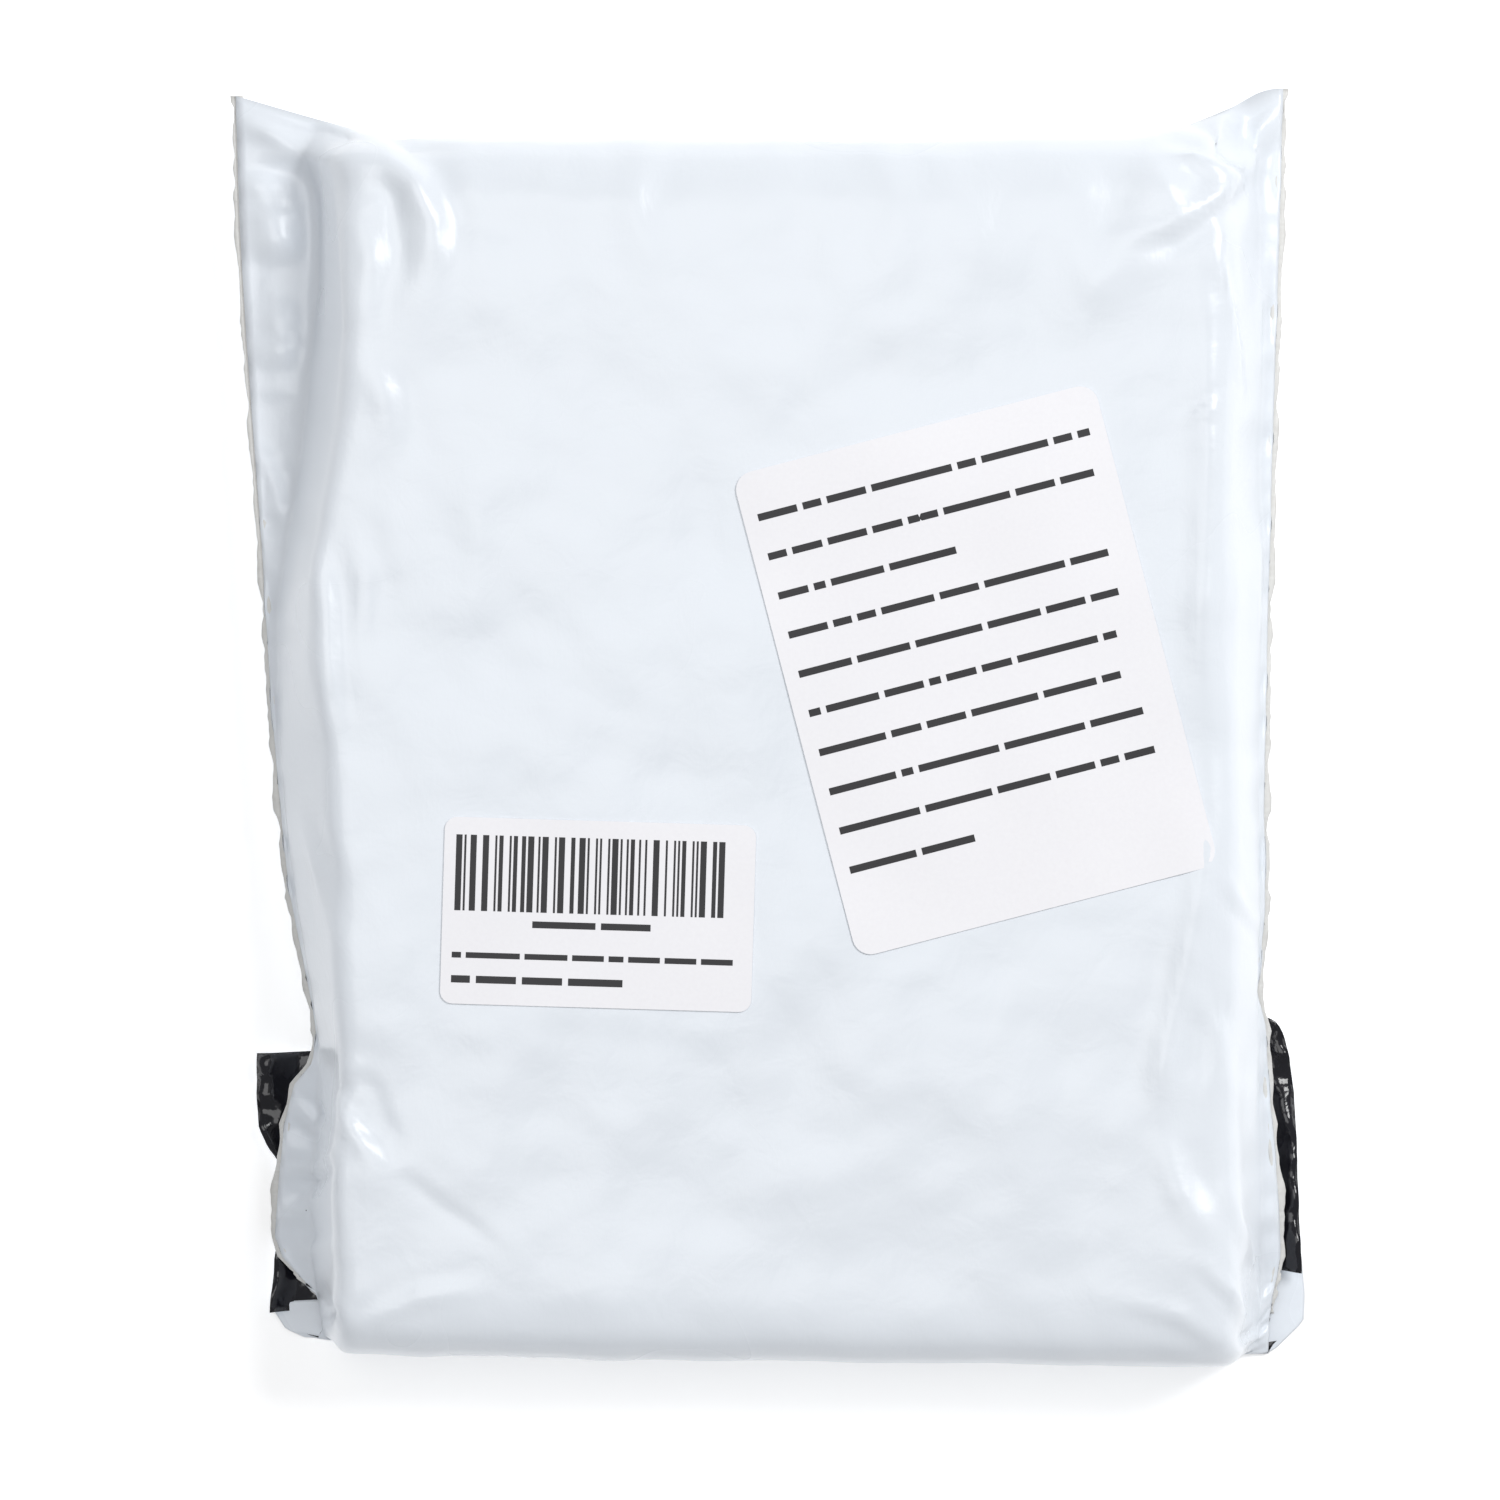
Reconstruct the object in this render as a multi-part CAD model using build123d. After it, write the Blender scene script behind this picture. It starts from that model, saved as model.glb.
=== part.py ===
"""A film changing bag, folded and closed in its plastic mailer.

The mailer lies on its back: +Z is up through the pack, +Y runs from the closed mouth to the bottom fold, and +X is
to the right when the labels are read. The origin is the centre of the bounding box, on the surface it lies on.

Inside, the changing bag is a bag in a bag. Its four cloth layers are pleated across the width, then folded once
over the length, with the two zips on the lower leg and the two sleeves turned back into the fold.
"""

import math
import os

from build123d import *

# ---- Mailer: driving sizes, millimetres -------------------------------------------------------------------------
mailer_width = 170.0  # flat width over the two side welds
film = 0.25  # one sheet of film
air = 0.1  # slack between sheets that lie on each other
mouth_y = -103.0  # where the closed end folds under
end_margin = 1.35  # flat film between the pouch and the bottom fold
left_ear_rise = 7.5  # how far each ear stands beyond the bottom fold
right_ear_rise = 9.0
ear_length = 33.0  # of each ear, along the bottom fold
fin_end = 11.0  # from the mouth fold to where the side fins start
weld_width = 1.5
weld_level = 11.0  # height of the side fins
wall_lean = 2.5  # how far the side walls lean out from the top to the fins
end_lean = 1.6  # the same at the bottom fold
tail_length = 11.4  # doubled film turned under, at the mailer's centre line
tail_skew = 2.6  # degrees: the end was folded under a little crooked
flap_length = 40.0
flap_corner = 6.0
glue_width = 20.0
glue_thickness = 0.2
glue_inset = 12.0  # from the mouth to the glue
glue_side_margin = 6.0

# ---- Labels -----------------------------------------------------------------------------------------------------
paper = 0.15
small_label = (50.0, 30.0, 2.0)  # width, height, corner radius
small_label_place = (-27.6, -31.4, -1.7)  # x, y and turn in degrees
large_label = (60.0, 80.0, 3.0)
large_label_place = (33.0, 7.8, 14.6)

# ---- Changing bag: driving sizes --------------------------------------------------------------------------------
cloth = 0.25
pack_width = 140.0  # over the pleats
pack_x = 2.0  # the pack lies a little right of the mailer's centre
pack_far_y = 90.0  # outside of the last fold
mouth_room = 13.0  # from the mouth fold to the zip edge of the outer bag, on the lower leg
shoulder_overhang = 3.0  # how much further the shoulder edge reaches, on the upper leg
zip_spacing = 17.0  # from the outer bag's zip edge to the inner bag's
pleats = 4
plate_clearance = 0.05  # between the inner slider's lower plate and the cloth behind it
zip_room = 3.5  # free height over the zips, inside the last fold
binding = 0.6

# ---- Sleeves ----------------------------------------------------------------------------------------------------
sleeve_margin = 4.0  # from the sleeve's side to the pack's side
cuff_to_fold = 11.4  # from the cuff's end to the last fold
cuff_width = 100.0
cuff_thickness = 2.9
cuff_length = 20.0
elastic = 0.9

# ---- Zips -------------------------------------------------------------------------------------------------------
hem = 2.0  # cloth between the zip tape and the bag's end
tape = 4.0
row = 0.95  # width of one row of teeth
row_slit = 0.7  # between the two rows, where the slider's neck runs
tooth_height = 0.7
stop_length = 1.5
slider_length = 8.5
slider_width = 6.0
lower_plate = 0.4
upper_plate = 0.5
neck_length = 2.5
neck_width = 0.5
lug_height = 1.1
lug_width = 0.8
pull_length = 18.0
pull_width = 4.0
pull_thickness = 0.6
pin_radius = 0.3
pin_clearance = 0.05
knuckle_radius = 0.55
outer_end_room = 1.7  # from the pull's tip to the pleat's end, when the zip is open
inner_end_room = 3.7
bump_height = 2.2  # how far the outer bag stands up over the inner slider
bump_margin = 0.6
bump_slope = 0.9

# ---- Worked out from the sizes above ----------------------------------------------------------------------------
core = tooth_height - cloth + air + lower_plate + plate_clearance  # air inside the inner bag
inner_layer = core / 2 + cloth / 2  # middle of the inner bag's layers, from the middle of a run
outer_layer = inner_layer + cloth + air
half_run = outer_layer + cloth / 2
fold_radius = half_run + air
pitch = 2 * fold_radius
leg_height = (pleats - 1) * pitch + 2 * half_run
sleeve_height = 4 * cloth + 3 * air
leg_gap = 2 * sleeve_height + 3 * air + zip_room

floor_lift = 2 * film + air + glue_thickness + air / 2  # the back sheet over the turned-under end
pack_bottom = floor_lift + film + air
pack_top = pack_bottom + 2 * leg_height + leg_gap
pack_middle = (pack_bottom + pack_top) / 2
mailer_top = pack_top + air + film
gap_bottom = pack_bottom + leg_height
gap_top = pack_top - leg_height

run_half = pack_width / 2 - fold_radius - half_run  # straight part of a run, each side of the pack's centre
bend_y = pack_far_y - (pack_middle - pack_bottom)  # centre of the last fold

bag_end_y = mouth_y + mouth_room
leg_end_y = bag_end_y - shoulder_overhang
inner_end_y = bag_end_y + zip_spacing
sleeve_width = pack_width - 2 * sleeve_margin
sleeve_end_y = bend_y - cuff_to_fold - cuff_length

zip_half = row + row_slit / 2
outer_zip_y = bag_end_y + hem + tape + zip_half
inner_zip_y = inner_end_y + hem + tape + zip_half
slider_rest_x = -run_half + stop_length + slider_length / 2 + 2 * air  # from the pack's centre, closed
outer_slider_end_x = run_half - pull_length - outer_end_room
inner_slider_end_x = run_half - pull_length - inner_end_room


def run_height(k):
    """Middle of run k of the pleats on the lower leg; run 0 is the lowest."""
    return pack_bottom + half_run + k * pitch


def face_up(k):
    """+1 where the front of the bag faces up on run k, else -1. It faces the last fold on the last run."""
    return 1 if (pleats - 1 - k) % 2 == 0 else -1


def pleat_line(n):
    """The layer at distance n in front of the bag's middle, as edges in x and z from run 0 to the last run."""
    edges = []
    for k in range(pleats):
        side = 1 if k % 2 == 0 else -1  # even runs go to the right
        z = run_height(k) + face_up(k) * n
        start, end = (pack_x - side * run_half, z), (pack_x + side * run_half, z)
        edges.append(Line(start, end))
        if k < pleats - 1:
            radius = fold_radius - face_up(k) * n
            edges.append(ThreePointArc(end, (end[0] + side * radius, z + radius), (end[0], z + 2 * radius)))
    return edges


def pleated_face(n_low, n_high):
    """The section of a layer between two distances from the bag's middle, in x and z."""
    low, high = pleat_line(n_low), pleat_line(n_high)
    ends = [Line(low[-1] @ 1, high[-1] @ 1), Line(high[0] @ 0, low[0] @ 0)]
    return make_face(Wire(low + high + ends))


def at_y(y):
    """The plane across the pack at y, with x and z as its own axes."""
    return Plane(origin=(0, y, 0), x_dir=(1, 0, 0), z_dir=(0, -1, 0))


def layer(n, thickness=cloth):
    return n - thickness / 2, n + thickness / 2


def along_pack(face, y_low, y_high):
    """A strip of a pleated section on the lower leg, from y_low to y_high."""
    return extrude(at_y(y_high) * face, y_high - y_low)


def round_last_fold(face, lower_end, upper_end):
    """A section carried along the lower leg, round the last fold and back along the upper leg."""
    low_z = run_height(0)
    high_z = 2 * pack_middle - low_z
    reach = pack_middle - low_z
    path = Wire([
        Line((0, lower_end, low_z), (0, bend_y, low_z)),
        ThreePointArc((0, bend_y, low_z), (0, bend_y + reach, pack_middle), (0, bend_y, high_z)),
        Line((0, bend_y, high_z), (0, upper_end, high_z)),
    ])
    return sweep(at_y(lower_end) * face, path=path)


# ---- Bag panels -------------------------------------------------------------------------------------------------
def closed_end(n, end_y):
    """Where a back panel turns up round the end of its bag and meets the zip tape."""
    wall = along_pack(pleated_face(-n - cloth / 2, n + cloth / 2), end_y, end_y + cloth)
    strip = along_pack(pleated_face(*layer(n)), end_y, end_y + hem)
    return wall + strip


def back_panel(n, end_y):
    return round_last_fold(pleated_face(*layer(-n)), end_y, leg_end_y) + closed_end(n, end_y)


def front_panel(n, zip_y):
    return round_last_fold(pleated_face(*layer(n)), zip_y + zip_half + tape, leg_end_y)


def bump_block(grow, top):
    """The hollow (grow 0) or the outside (grow cloth) of the ridge over the inner slider."""
    left = slider_rest_x - slider_length / 2 - bump_margin - grow
    right = inner_slider_end_x + pull_length + bump_margin + grow
    depth = slider_width + 2 * (bump_margin + grow)
    base_z = run_height(pleats - 1) + outer_layer - cloth / 2
    centre = (pack_x + (left + right) / 2, inner_zip_y)
    foot = Pos(*centre, base_z) * Rectangle(right - left + bump_slope / 2, depth + 2 * bump_slope)
    crown = Pos(*centre, base_z + top) * Rectangle(right - left, depth)
    return loft([foot, crown], ruled=True)


def outer_front_panel():
    """The outer bag's front, with the ridge that it makes over the inner zip's slider."""
    hollow = bump_block(0, cloth + bump_height)
    ridge = bump_block(cloth, 2 * cloth + bump_height)
    return front_panel(outer_layer, outer_zip_y) + ridge - hollow


def side_binding(k):
    """Binding tape along a side seam, which is a free end of run k."""
    strip = Pos(pack_x - run_half - binding / 2, run_height(k)) * Rectangle(binding, 2 * half_run)
    return round_last_fold(strip, bag_end_y, leg_end_y)


def shoulder_binding():
    """Binding on the shoulder edge between the sleeves, which closes the middle runs of the upper leg."""
    strips = []
    for k in range(1, pleats - 1):
        z = 2 * pack_middle - run_height(k)
        strips.append(Pos(pack_x, leg_end_y - binding / 2, z) * Box(2 * run_half, binding, 2 * half_run))
    return Compound(strips)


# ---- Zips -------------------------------------------------------------------------------------------------------
def zip_tape(n, zip_y, side):
    start = zip_y + zip_half if side > 0 else zip_y - zip_half - tape
    return along_pack(pleated_face(*layer(n)), start, start + tape)


def zip_teeth(n, zip_y):
    """The two rows of teeth between the stops, flush with the outside of the tape."""
    section = pleated_face(n + cloth / 2 - tooth_height, n + cloth / 2)
    lower_row = along_pack(section, zip_y - zip_half, zip_y - row_slit / 2)
    upper_row = along_pack(section, zip_y + row_slit / 2, zip_y + zip_half)
    stops = zip_stops(n, zip_y)
    return Compound([*(lower_row - stops).solids(), *(upper_row - stops).solids()])


def zip_stops(n, zip_y):
    """The stops crimped over both rows at the two ends of the zip."""
    stops = []
    for k in (0, pleats - 1):
        z = run_height(k) + face_up(k) * (n + cloth / 2 - tooth_height / 2)
        x = pack_x - run_half + stop_length / 2
        stops.append(Pos(x, zip_y, z) * Box(stop_length, 2 * zip_half, tooth_height))
    return Compound(stops)


def tooth_level(n):
    """Underside of the teeth on the run that faces the last fold."""
    return run_height(pleats - 1) + n + cloth / 2 - tooth_height


def pull_pivot(n, zip_y):
    """Centre of the pin that a slider's pull turns on."""
    plate_top = tooth_level(n) + tooth_height + air + upper_plate
    return Vector(pack_x + slider_rest_x, zip_y, plate_top + lug_height / 2 + air / 2)


def zip_slider(n, zip_y):
    """Two plates joined by the neck, with two lugs and a pin on top for the pull."""
    low = tooth_level(n)
    x = pack_x + slider_rest_x
    lower_z = low - air - lower_plate / 2
    upper_z = low + tooth_height + air + upper_plate / 2
    plates = Pos(x, zip_y, lower_z) * Box(slider_length, slider_width, lower_plate)
    plates += Pos(x, zip_y, upper_z) * Box(slider_length, slider_width, upper_plate)
    plates = fillet(plates.edges().filter_by(Axis.Z), slider_width / 5)
    neck = Pos(x + slider_length / 2 - neck_length / 2 - 1, zip_y, (lower_z + upper_z) / 2)
    body = plates + neck * Box(neck_length, neck_width, upper_z - lower_z)
    pivot = pull_pivot(n, zip_y)
    for side in (-1, 1):
        lug_y = zip_y + side * (pull_width / 2 + air + lug_width / 2)
        lug = Pos(pivot.X, lug_y, upper_z + upper_plate / 2 + lug_height / 2) * Box(1.6, lug_width, lug_height)
        body += lug
    pin = Pos(pivot) * Rot(90, 0, 0) * Cylinder(pin_radius, pull_width + 2 * air + 2 * lug_width)
    return body + pin


def zip_pull(n, zip_y):
    """Flat tab with a knuckle that turns on the slider's pin."""
    pivot = pull_pivot(n, zip_y)
    knuckle = Pos(pivot) * Rot(90, 0, 0) * Cylinder(knuckle_radius, pull_width)
    tab = Pos(pivot.X + pull_length / 2, pivot.Y, pivot.Z) * Box(pull_length, pull_width, pull_thickness)
    tip_edges = tab.edges().filter_by(Axis.Z).group_by(Axis.X)[-1]
    tab = fillet(tip_edges, pull_width / 3)
    eye = Pos(pivot.X + pull_length - 4, pivot.Y, pivot.Z) * Cylinder(pull_width / 5, pull_thickness)
    bore = Pos(pivot) * Rot(90, 0, 0) * Cylinder(pin_radius + pin_clearance, pull_width)
    return knuckle + tab - eye - bore


# ---- Sleeves ----------------------------------------------------------------------------------------------------
def flat_tube(width, height, wall):
    """Section of a tube pressed flat."""
    return SlotOverall(width, height) - SlotOverall(width - 2 * wall, height - 2 * wall)


def sleeve_levels(upper):
    """Height where a sleeve leaves the shoulder, height where it lies in the fold, and y of its turn."""
    first = gap_top - air - sleeve_height / 2
    if upper:
        start, rest = pack_top - half_run, first - sleeve_height - air
        turn_y = mouth_y + film + 3 * air + sleeve_height / 2 + (start - rest) / 2
    else:
        start, rest = gap_top + half_run, first
        turn_y = leg_end_y - 1
    return start, rest, turn_y


def sleeve_tube(section, upper):
    """A flat tube from the shoulder, round its turn and back into the last fold."""
    start, rest, turn_y = sleeve_levels(upper)
    radius = (start - rest) / 2
    path = Wire([
        Line((pack_x, leg_end_y, start), (pack_x, turn_y, start)),
        ThreePointArc((pack_x, turn_y, start), (pack_x, turn_y - radius, start - radius), (pack_x, turn_y, rest)),
        Line((pack_x, turn_y, rest), (pack_x, sleeve_end_y, rest)),
    ])
    plane = Plane(origin=(pack_x, leg_end_y, start), x_dir=(1, 0, 0), z_dir=(0, -1, 0))
    return sweep(plane * section, path=path)


def outer_sleeve(upper):
    return sleeve_tube(flat_tube(sleeve_width, sleeve_height, cloth), upper)


def inner_sleeve(upper):
    shrink = 2 * (cloth + air)
    return sleeve_tube(flat_tube(sleeve_width - shrink, sleeve_height - shrink, cloth), upper)


def cuff_level(upper):
    first = gap_top - air - cuff_thickness / 2
    return first - cuff_thickness - air if upper else first


def cuff_ring(section, upper, y_low, length):
    plane = Plane(origin=(pack_x, y_low + length, cuff_level(upper)), x_dir=(1, 0, 0), z_dir=(0, -1, 0))
    return extrude(plane * section, length)


def cuff_hem(upper):
    return cuff_ring(flat_tube(cuff_width, cuff_thickness, cloth), upper, sleeve_end_y, cuff_length)


def cuff_elastic(upper):
    shrink = 2 * (cloth + air)
    section = flat_tube(cuff_width - shrink, cuff_thickness - shrink, elastic)
    return cuff_ring(section, upper, sleeve_end_y + 2, cuff_length - 4)


# ---- Mailer film ------------------------------------------------------------------------------------------------
top_half_width = pack_width / 2 + film + air
far_y = pack_far_y + end_lean / 2


def pouch_block(inset, z_face):
    """A solid between the fins and the flat face at z_face, taken in by inset on every wall."""
    def outline(half_width, y_high, z):
        y_low = mouth_y + inset
        centre = Pos(pack_x, (y_low + y_high - inset) / 2, z)
        return centre * Rectangle(2 * (half_width - inset), y_high - inset - y_low)
    face = outline(top_half_width, far_y + film, z_face)
    waist = outline(top_half_width + wall_lean, far_y + film + end_lean, weld_level)
    return loft([face, waist], ruled=True)


flap_end_right = mouth_y + tail_length + flap_length + mailer_width / 2 * math.tan(math.radians(tail_skew))


def under_recess(lift):
    """Room under the mouth end, where the turned-under film lies, with a ramp at its edge."""
    ramp = flap_end_right + 1.5
    section = Polyline(
        (mouth_y - 5, -5 + lift), (mouth_y - 5, floor_lift + lift), (ramp, floor_lift + lift),
        (ramp + 3, lift), (ramp + 3, -5 + lift), close=True,
    )
    plane = Plane(origin=(-mailer_width, 0, 0), x_dir=(0, 1, 0), z_dir=(1, 0, 0))
    return extrude(plane * make_face(section), 2 * mailer_width)


bottom_fold_y = far_y + film + end_lean + end_margin
fin_end_y = mouth_y + fin_end
left_side = pack_x - mailer_width / 2
right_side = pack_x + mailer_width / 2
left_edge = [  # the side welds, drawn in from the flat width by the full pouch
    (left_side - 4.0, bottom_fold_y + left_ear_rise),
    (left_side + 2.0, 3.0),
    (left_side + 7.5, -50.0),
    (left_side + 3.0, fin_end_y),
]
right_edge = [
    (right_side - 3.0, bottom_fold_y + right_ear_rise),
    (right_side - 6.5, -20.0),
    (right_side - 3.5, fin_end_y),
]


def moved(points, dx):
    return [(x + dx, y) for x, y in points]


def fin(z_low):
    """One sheet of the flat margin between the pouch and the side welds, with the two ears."""
    left, right = moved(left_edge, weld_width), moved(right_edge, -weld_width)
    fold = [(right_side - 3 - ear_length, bottom_fold_y), (left_side - 3 + ear_length, bottom_fold_y)]
    outline = make_face(Polyline(*left, *reversed(right), *fold, close=True))
    waist = top_half_width + wall_lean - film
    y_high = far_y + end_lean
    hole = Pos(pack_x, (mouth_y + y_high) / 2) * Rectangle(2 * waist, y_high - mouth_y)
    return Pos(0, 0, z_low) * extrude(outline - hole, film)


def end_wall_below_fins():
    """The part of the front sheet that comes down past the fins at the mouth end."""
    height = weld_level - floor_lift
    waist = pouch_block(0, 0) - under_recess(0)
    slab = Pos(pack_x, mouth_y + film / 2, floor_lift + height / 2) * Box(mailer_width, film, height)
    return slab & waist


def front_film():
    shell = pouch_block(0, mailer_top) - pouch_block(film, mailer_top - film)
    return shell + fin(weld_level) + end_wall_below_fins()


def back_film():
    outside = pouch_block(0, 0) - under_recess(0)
    inside = pouch_block(film, film) - under_recess(film)
    return outside - inside - end_wall_below_fins() + fin(weld_level - film)


def side_weld(edge, inward):
    """The melted bead that joins the two sheets along one side."""
    strip = Polyline(*edge, *reversed(moved(edge, inward)), close=True)
    return Pos(0, 0, weld_level - 1.5 * film) * extrude(make_face(strip), 3 * film)


# ---- Turned-under end -------------------------------------------------------------------------------------------
mouth_tilt = math.radians(tail_skew)
mouth_centre = (pack_x, mouth_y + tail_length)


def mouth_line_y(x):
    return mouth_centre[1] + (x - pack_x) * math.tan(mouth_tilt)


def tail_sheet(z_low):
    """One sheet of the mailer between the fold and the mouth."""
    near = mouth_y + film + air
    outline = Polyline(
        (left_side, mouth_line_y(left_side)),
        (left_side, near + 3),
        (left_side + 4, near),
        (right_side - 5, near),
        (right_side, near + 5),
        (right_side, mouth_line_y(right_side)),
        close=True,
    )
    return Pos(0, 0, z_low) * extrude(make_face(outline), film)


def in_flap(x, y, z):
    """A place in the flap's own frame, which starts at the middle of the mouth and follows its tilt."""
    return Pos(*mouth_centre, 0) * Rot(0, 0, tail_skew) * Pos(x, y, z)


def closing_flap():
    width = mailer_width * math.cos(mouth_tilt) - 2 * air
    sheet = in_flap(0, flap_length / 2 + film, film + air + film / 2) * Box(width, flap_length, film)
    free_corners = sheet.edges().filter_by(Axis.Z).sort_by(Axis.Y)[-2:]
    return fillet(free_corners, flap_corner)


def adhesive_strip():
    z = 2 * film + air + glue_thickness / 2
    width = mailer_width - 2 * glue_side_margin
    return in_flap(0, glue_inset + glue_width / 2, z) * Box(width, glue_width, glue_thickness)


def label(size, place):
    width, height, corner = size
    x, y, turn = place
    return Pos(x, y, mailer_top) * Rot(0, 0, turn) * extrude(RectangleRounded(width, height, corner), paper)


# ---- Write every piece ------------------------------------------------------------------------------------------
pieces = {
    "mailer_front_film": front_film(),
    "mailer_back_film": back_film(),
    "left_side_weld": side_weld(left_edge, weld_width),
    "right_side_weld": side_weld(right_edge, -weld_width),
    "tail_front_film": tail_sheet(0),
    "tail_back_film": tail_sheet(film + air),
    "closing_flap": closing_flap(),
    "adhesive_strip": adhesive_strip(),
    "barcode_label": label(small_label, small_label_place),
    "description_label": label(large_label, large_label_place),
    "outer_bag_front_panel": outer_front_panel(),
    "outer_bag_back_panel": back_panel(outer_layer, bag_end_y),
    "inner_bag_front_panel": front_panel(inner_layer, inner_zip_y),
    "inner_bag_back_panel": back_panel(inner_layer, inner_end_y),
    "left_side_binding": side_binding(0),
    "right_side_binding": side_binding(pleats - 1),
    "shoulder_binding": shoulder_binding(),
}
for name, n, zip_y in (("outer", outer_layer, outer_zip_y), ("inner", inner_layer, inner_zip_y)):
    pieces[f"{name}_zip_front_tape"] = zip_tape(n, zip_y, 1)
    pieces[f"{name}_zip_back_tape"] = zip_tape(n, zip_y, -1)
    pieces[f"{name}_zip_teeth"] = zip_teeth(n, zip_y)
    pieces[f"{name}_zip_stops"] = zip_stops(n, zip_y)
    pieces[f"{name}_zip_slider"] = zip_slider(n, zip_y)
    pieces[f"{name}_zip_pull"] = zip_pull(n, zip_y)
for name, upper in (("left", False), ("right", True)):
    pieces[f"{name}_outer_sleeve"] = outer_sleeve(upper)
    pieces[f"{name}_inner_sleeve"] = inner_sleeve(upper)
    pieces[f"{name}_cuff_hem"] = cuff_hem(upper)
    pieces[f"{name}_cuff_elastic"] = cuff_elastic(upper)

os.makedirs("parts", exist_ok=True)
for name, shape in pieces.items():
    export_step(shape, f"parts/{name}.step")

travel = {"outer": outer_slider_end_x - slider_rest_x, "inner": inner_slider_end_x - slider_rest_x}
print("mailer top", round(mailer_top, 3), "pack", round(pack_bottom, 3), "to", round(pack_top, 3))
print("mouth line", mouth_centre, "tilt", tail_skew, "flap hinge z", film + air / 2)
for name, n, zip_y in (("outer", outer_layer, outer_zip_y), ("inner", inner_layer, inner_zip_y)):
    print(name, "zip travel", round(travel[name], 3), "pull pivot", pull_pivot(n, zip_y))
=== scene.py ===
# %% [markdown]
# # A changing bag in its mailer
# The object is a black cloth changing bag, folded flat and closed in a white polyethylene mailer
# with two stickers. The bag, the zips and the stickers take their places from the imported model's
# boxes. The film's routes are given lists, most of them offsets from those boxes. This
# lesson gives the film its creases, the stickers their print and the cloth its weave. Lengths are
# written in millimetres and turned into metres by MM.

# %% Load the frame
import math

import bmesh
import bpy
import numpy as np
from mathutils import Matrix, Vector, noise
from mathutils.bvhtree import BVHTree


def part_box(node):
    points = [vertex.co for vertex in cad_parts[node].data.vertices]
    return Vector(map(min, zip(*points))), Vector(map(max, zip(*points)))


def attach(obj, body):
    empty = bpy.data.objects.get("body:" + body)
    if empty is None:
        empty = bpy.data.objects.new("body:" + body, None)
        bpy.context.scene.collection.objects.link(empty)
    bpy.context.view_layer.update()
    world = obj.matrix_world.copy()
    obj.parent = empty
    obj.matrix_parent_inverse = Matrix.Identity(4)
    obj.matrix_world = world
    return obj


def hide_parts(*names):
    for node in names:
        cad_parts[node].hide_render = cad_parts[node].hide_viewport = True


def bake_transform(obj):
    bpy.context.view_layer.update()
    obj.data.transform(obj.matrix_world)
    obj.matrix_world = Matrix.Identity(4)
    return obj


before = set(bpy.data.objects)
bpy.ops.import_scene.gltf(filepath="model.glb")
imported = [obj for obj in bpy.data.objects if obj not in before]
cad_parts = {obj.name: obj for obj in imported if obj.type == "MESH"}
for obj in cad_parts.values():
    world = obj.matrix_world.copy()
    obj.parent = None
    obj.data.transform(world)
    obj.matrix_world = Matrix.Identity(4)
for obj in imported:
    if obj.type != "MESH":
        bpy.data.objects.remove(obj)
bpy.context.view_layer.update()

MM = 0.001


def node_box(name):
    """Lowest and highest corner of a CAD node, in millimetres."""
    low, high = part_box(name)
    return np.array(low) / MM, np.array(high) / MM


# %% [markdown]
# ## Shader maths as Python
# A material that only varies by hand-placed nodes is hard to read. This class wraps a socket, so
# that maths on it is written as an expression, and every expression adds its Math nodes.

# %% Shader expressions
class Term:
    def __init__(self, tree, socket):
        self.tree, self.socket = tree, socket

    def math(self, operation, *others):
        inputs = {0: self, **{k + 1: other for k, other in enumerate(others)}}
        return node(self.tree, "ShaderNodeMath", {"operation": operation}, inputs)

    def __add__(self, other):
        return self.math("ADD", other)

    def __sub__(self, other):
        return self.math("SUBTRACT", other)

    def __rsub__(self, other):
        return (self * -1.0).math("ADD", other)

    def __mul__(self, other):
        return self.math("MULTIPLY", other)

    __radd__, __rmul__ = __add__, __mul__

    def clamp(self):
        return self.math("MAXIMUM", 0.0).math("MINIMUM", 1.0)


def node(tree, kind, settings, inputs, output=0):
    """Adds a node, sets its settings, then its sockets from numbers, colours or terms."""
    made = tree.nodes.new(kind)
    for name, value in settings.items():
        setattr(made, name, value)
    for key, value in inputs.items():
        if isinstance(value, Term):
            tree.links.new(value.socket, made.inputs[key])
        else:
            made.inputs[key].default_value = value
    return Term(tree, made.outputs[output])


def place(tree, scale=(1, 1, 1)):
    """Object coordinates in millimetres, scaled."""
    coordinates = node(tree, "ShaderNodeTexCoord", {}, {}, "Object")
    size = tuple(s / MM for s in scale)
    return node(tree, "ShaderNodeMapping", {}, {"Vector": coordinates, "Scale": size})


def grain(tree, scale, detail=3.0, stretch=(1, 1, 1), distortion=0.0):
    """Noise from 0 to 1, with scale in cycles to the millimetre."""
    inputs = {"Vector": place(tree, stretch), "Scale": scale, "Detail": detail, "Distortion": distortion}
    return node(tree, "ShaderNodeTexNoise", {}, inputs)


def blend_colour(tree, amount, first, second):
    inputs = {0: amount, 6: first, 7: second}
    return node(tree, "ShaderNodeMix", {"data_type": "RGBA"}, inputs, 2)


def bump(tree, height, distance, strength=1.0):
    """Bump from a height from 0 to 1 that stands for distance, in millimetres."""
    inputs = {"Height": height, "Distance": distance * MM, "Strength": strength}
    return node(tree, "ShaderNodeBump", {}, inputs)


def material(name, **sockets):
    """A Principled material with constants set on its sockets. Returns it and its tree and shader."""
    made = bpy.data.materials.new(name)
    made.use_nodes = True
    shader = made.node_tree.nodes["Principled BSDF"]
    for key, value in sockets.items():
        shader.inputs[key.replace("_", " ")].default_value = value
    return made, made.node_tree, shader


def feed(shader, **terms):
    for key, term in terms.items():
        shader.id_data.links.new(term.socket, shader.inputs[key.replace("_", " ")])


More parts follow.
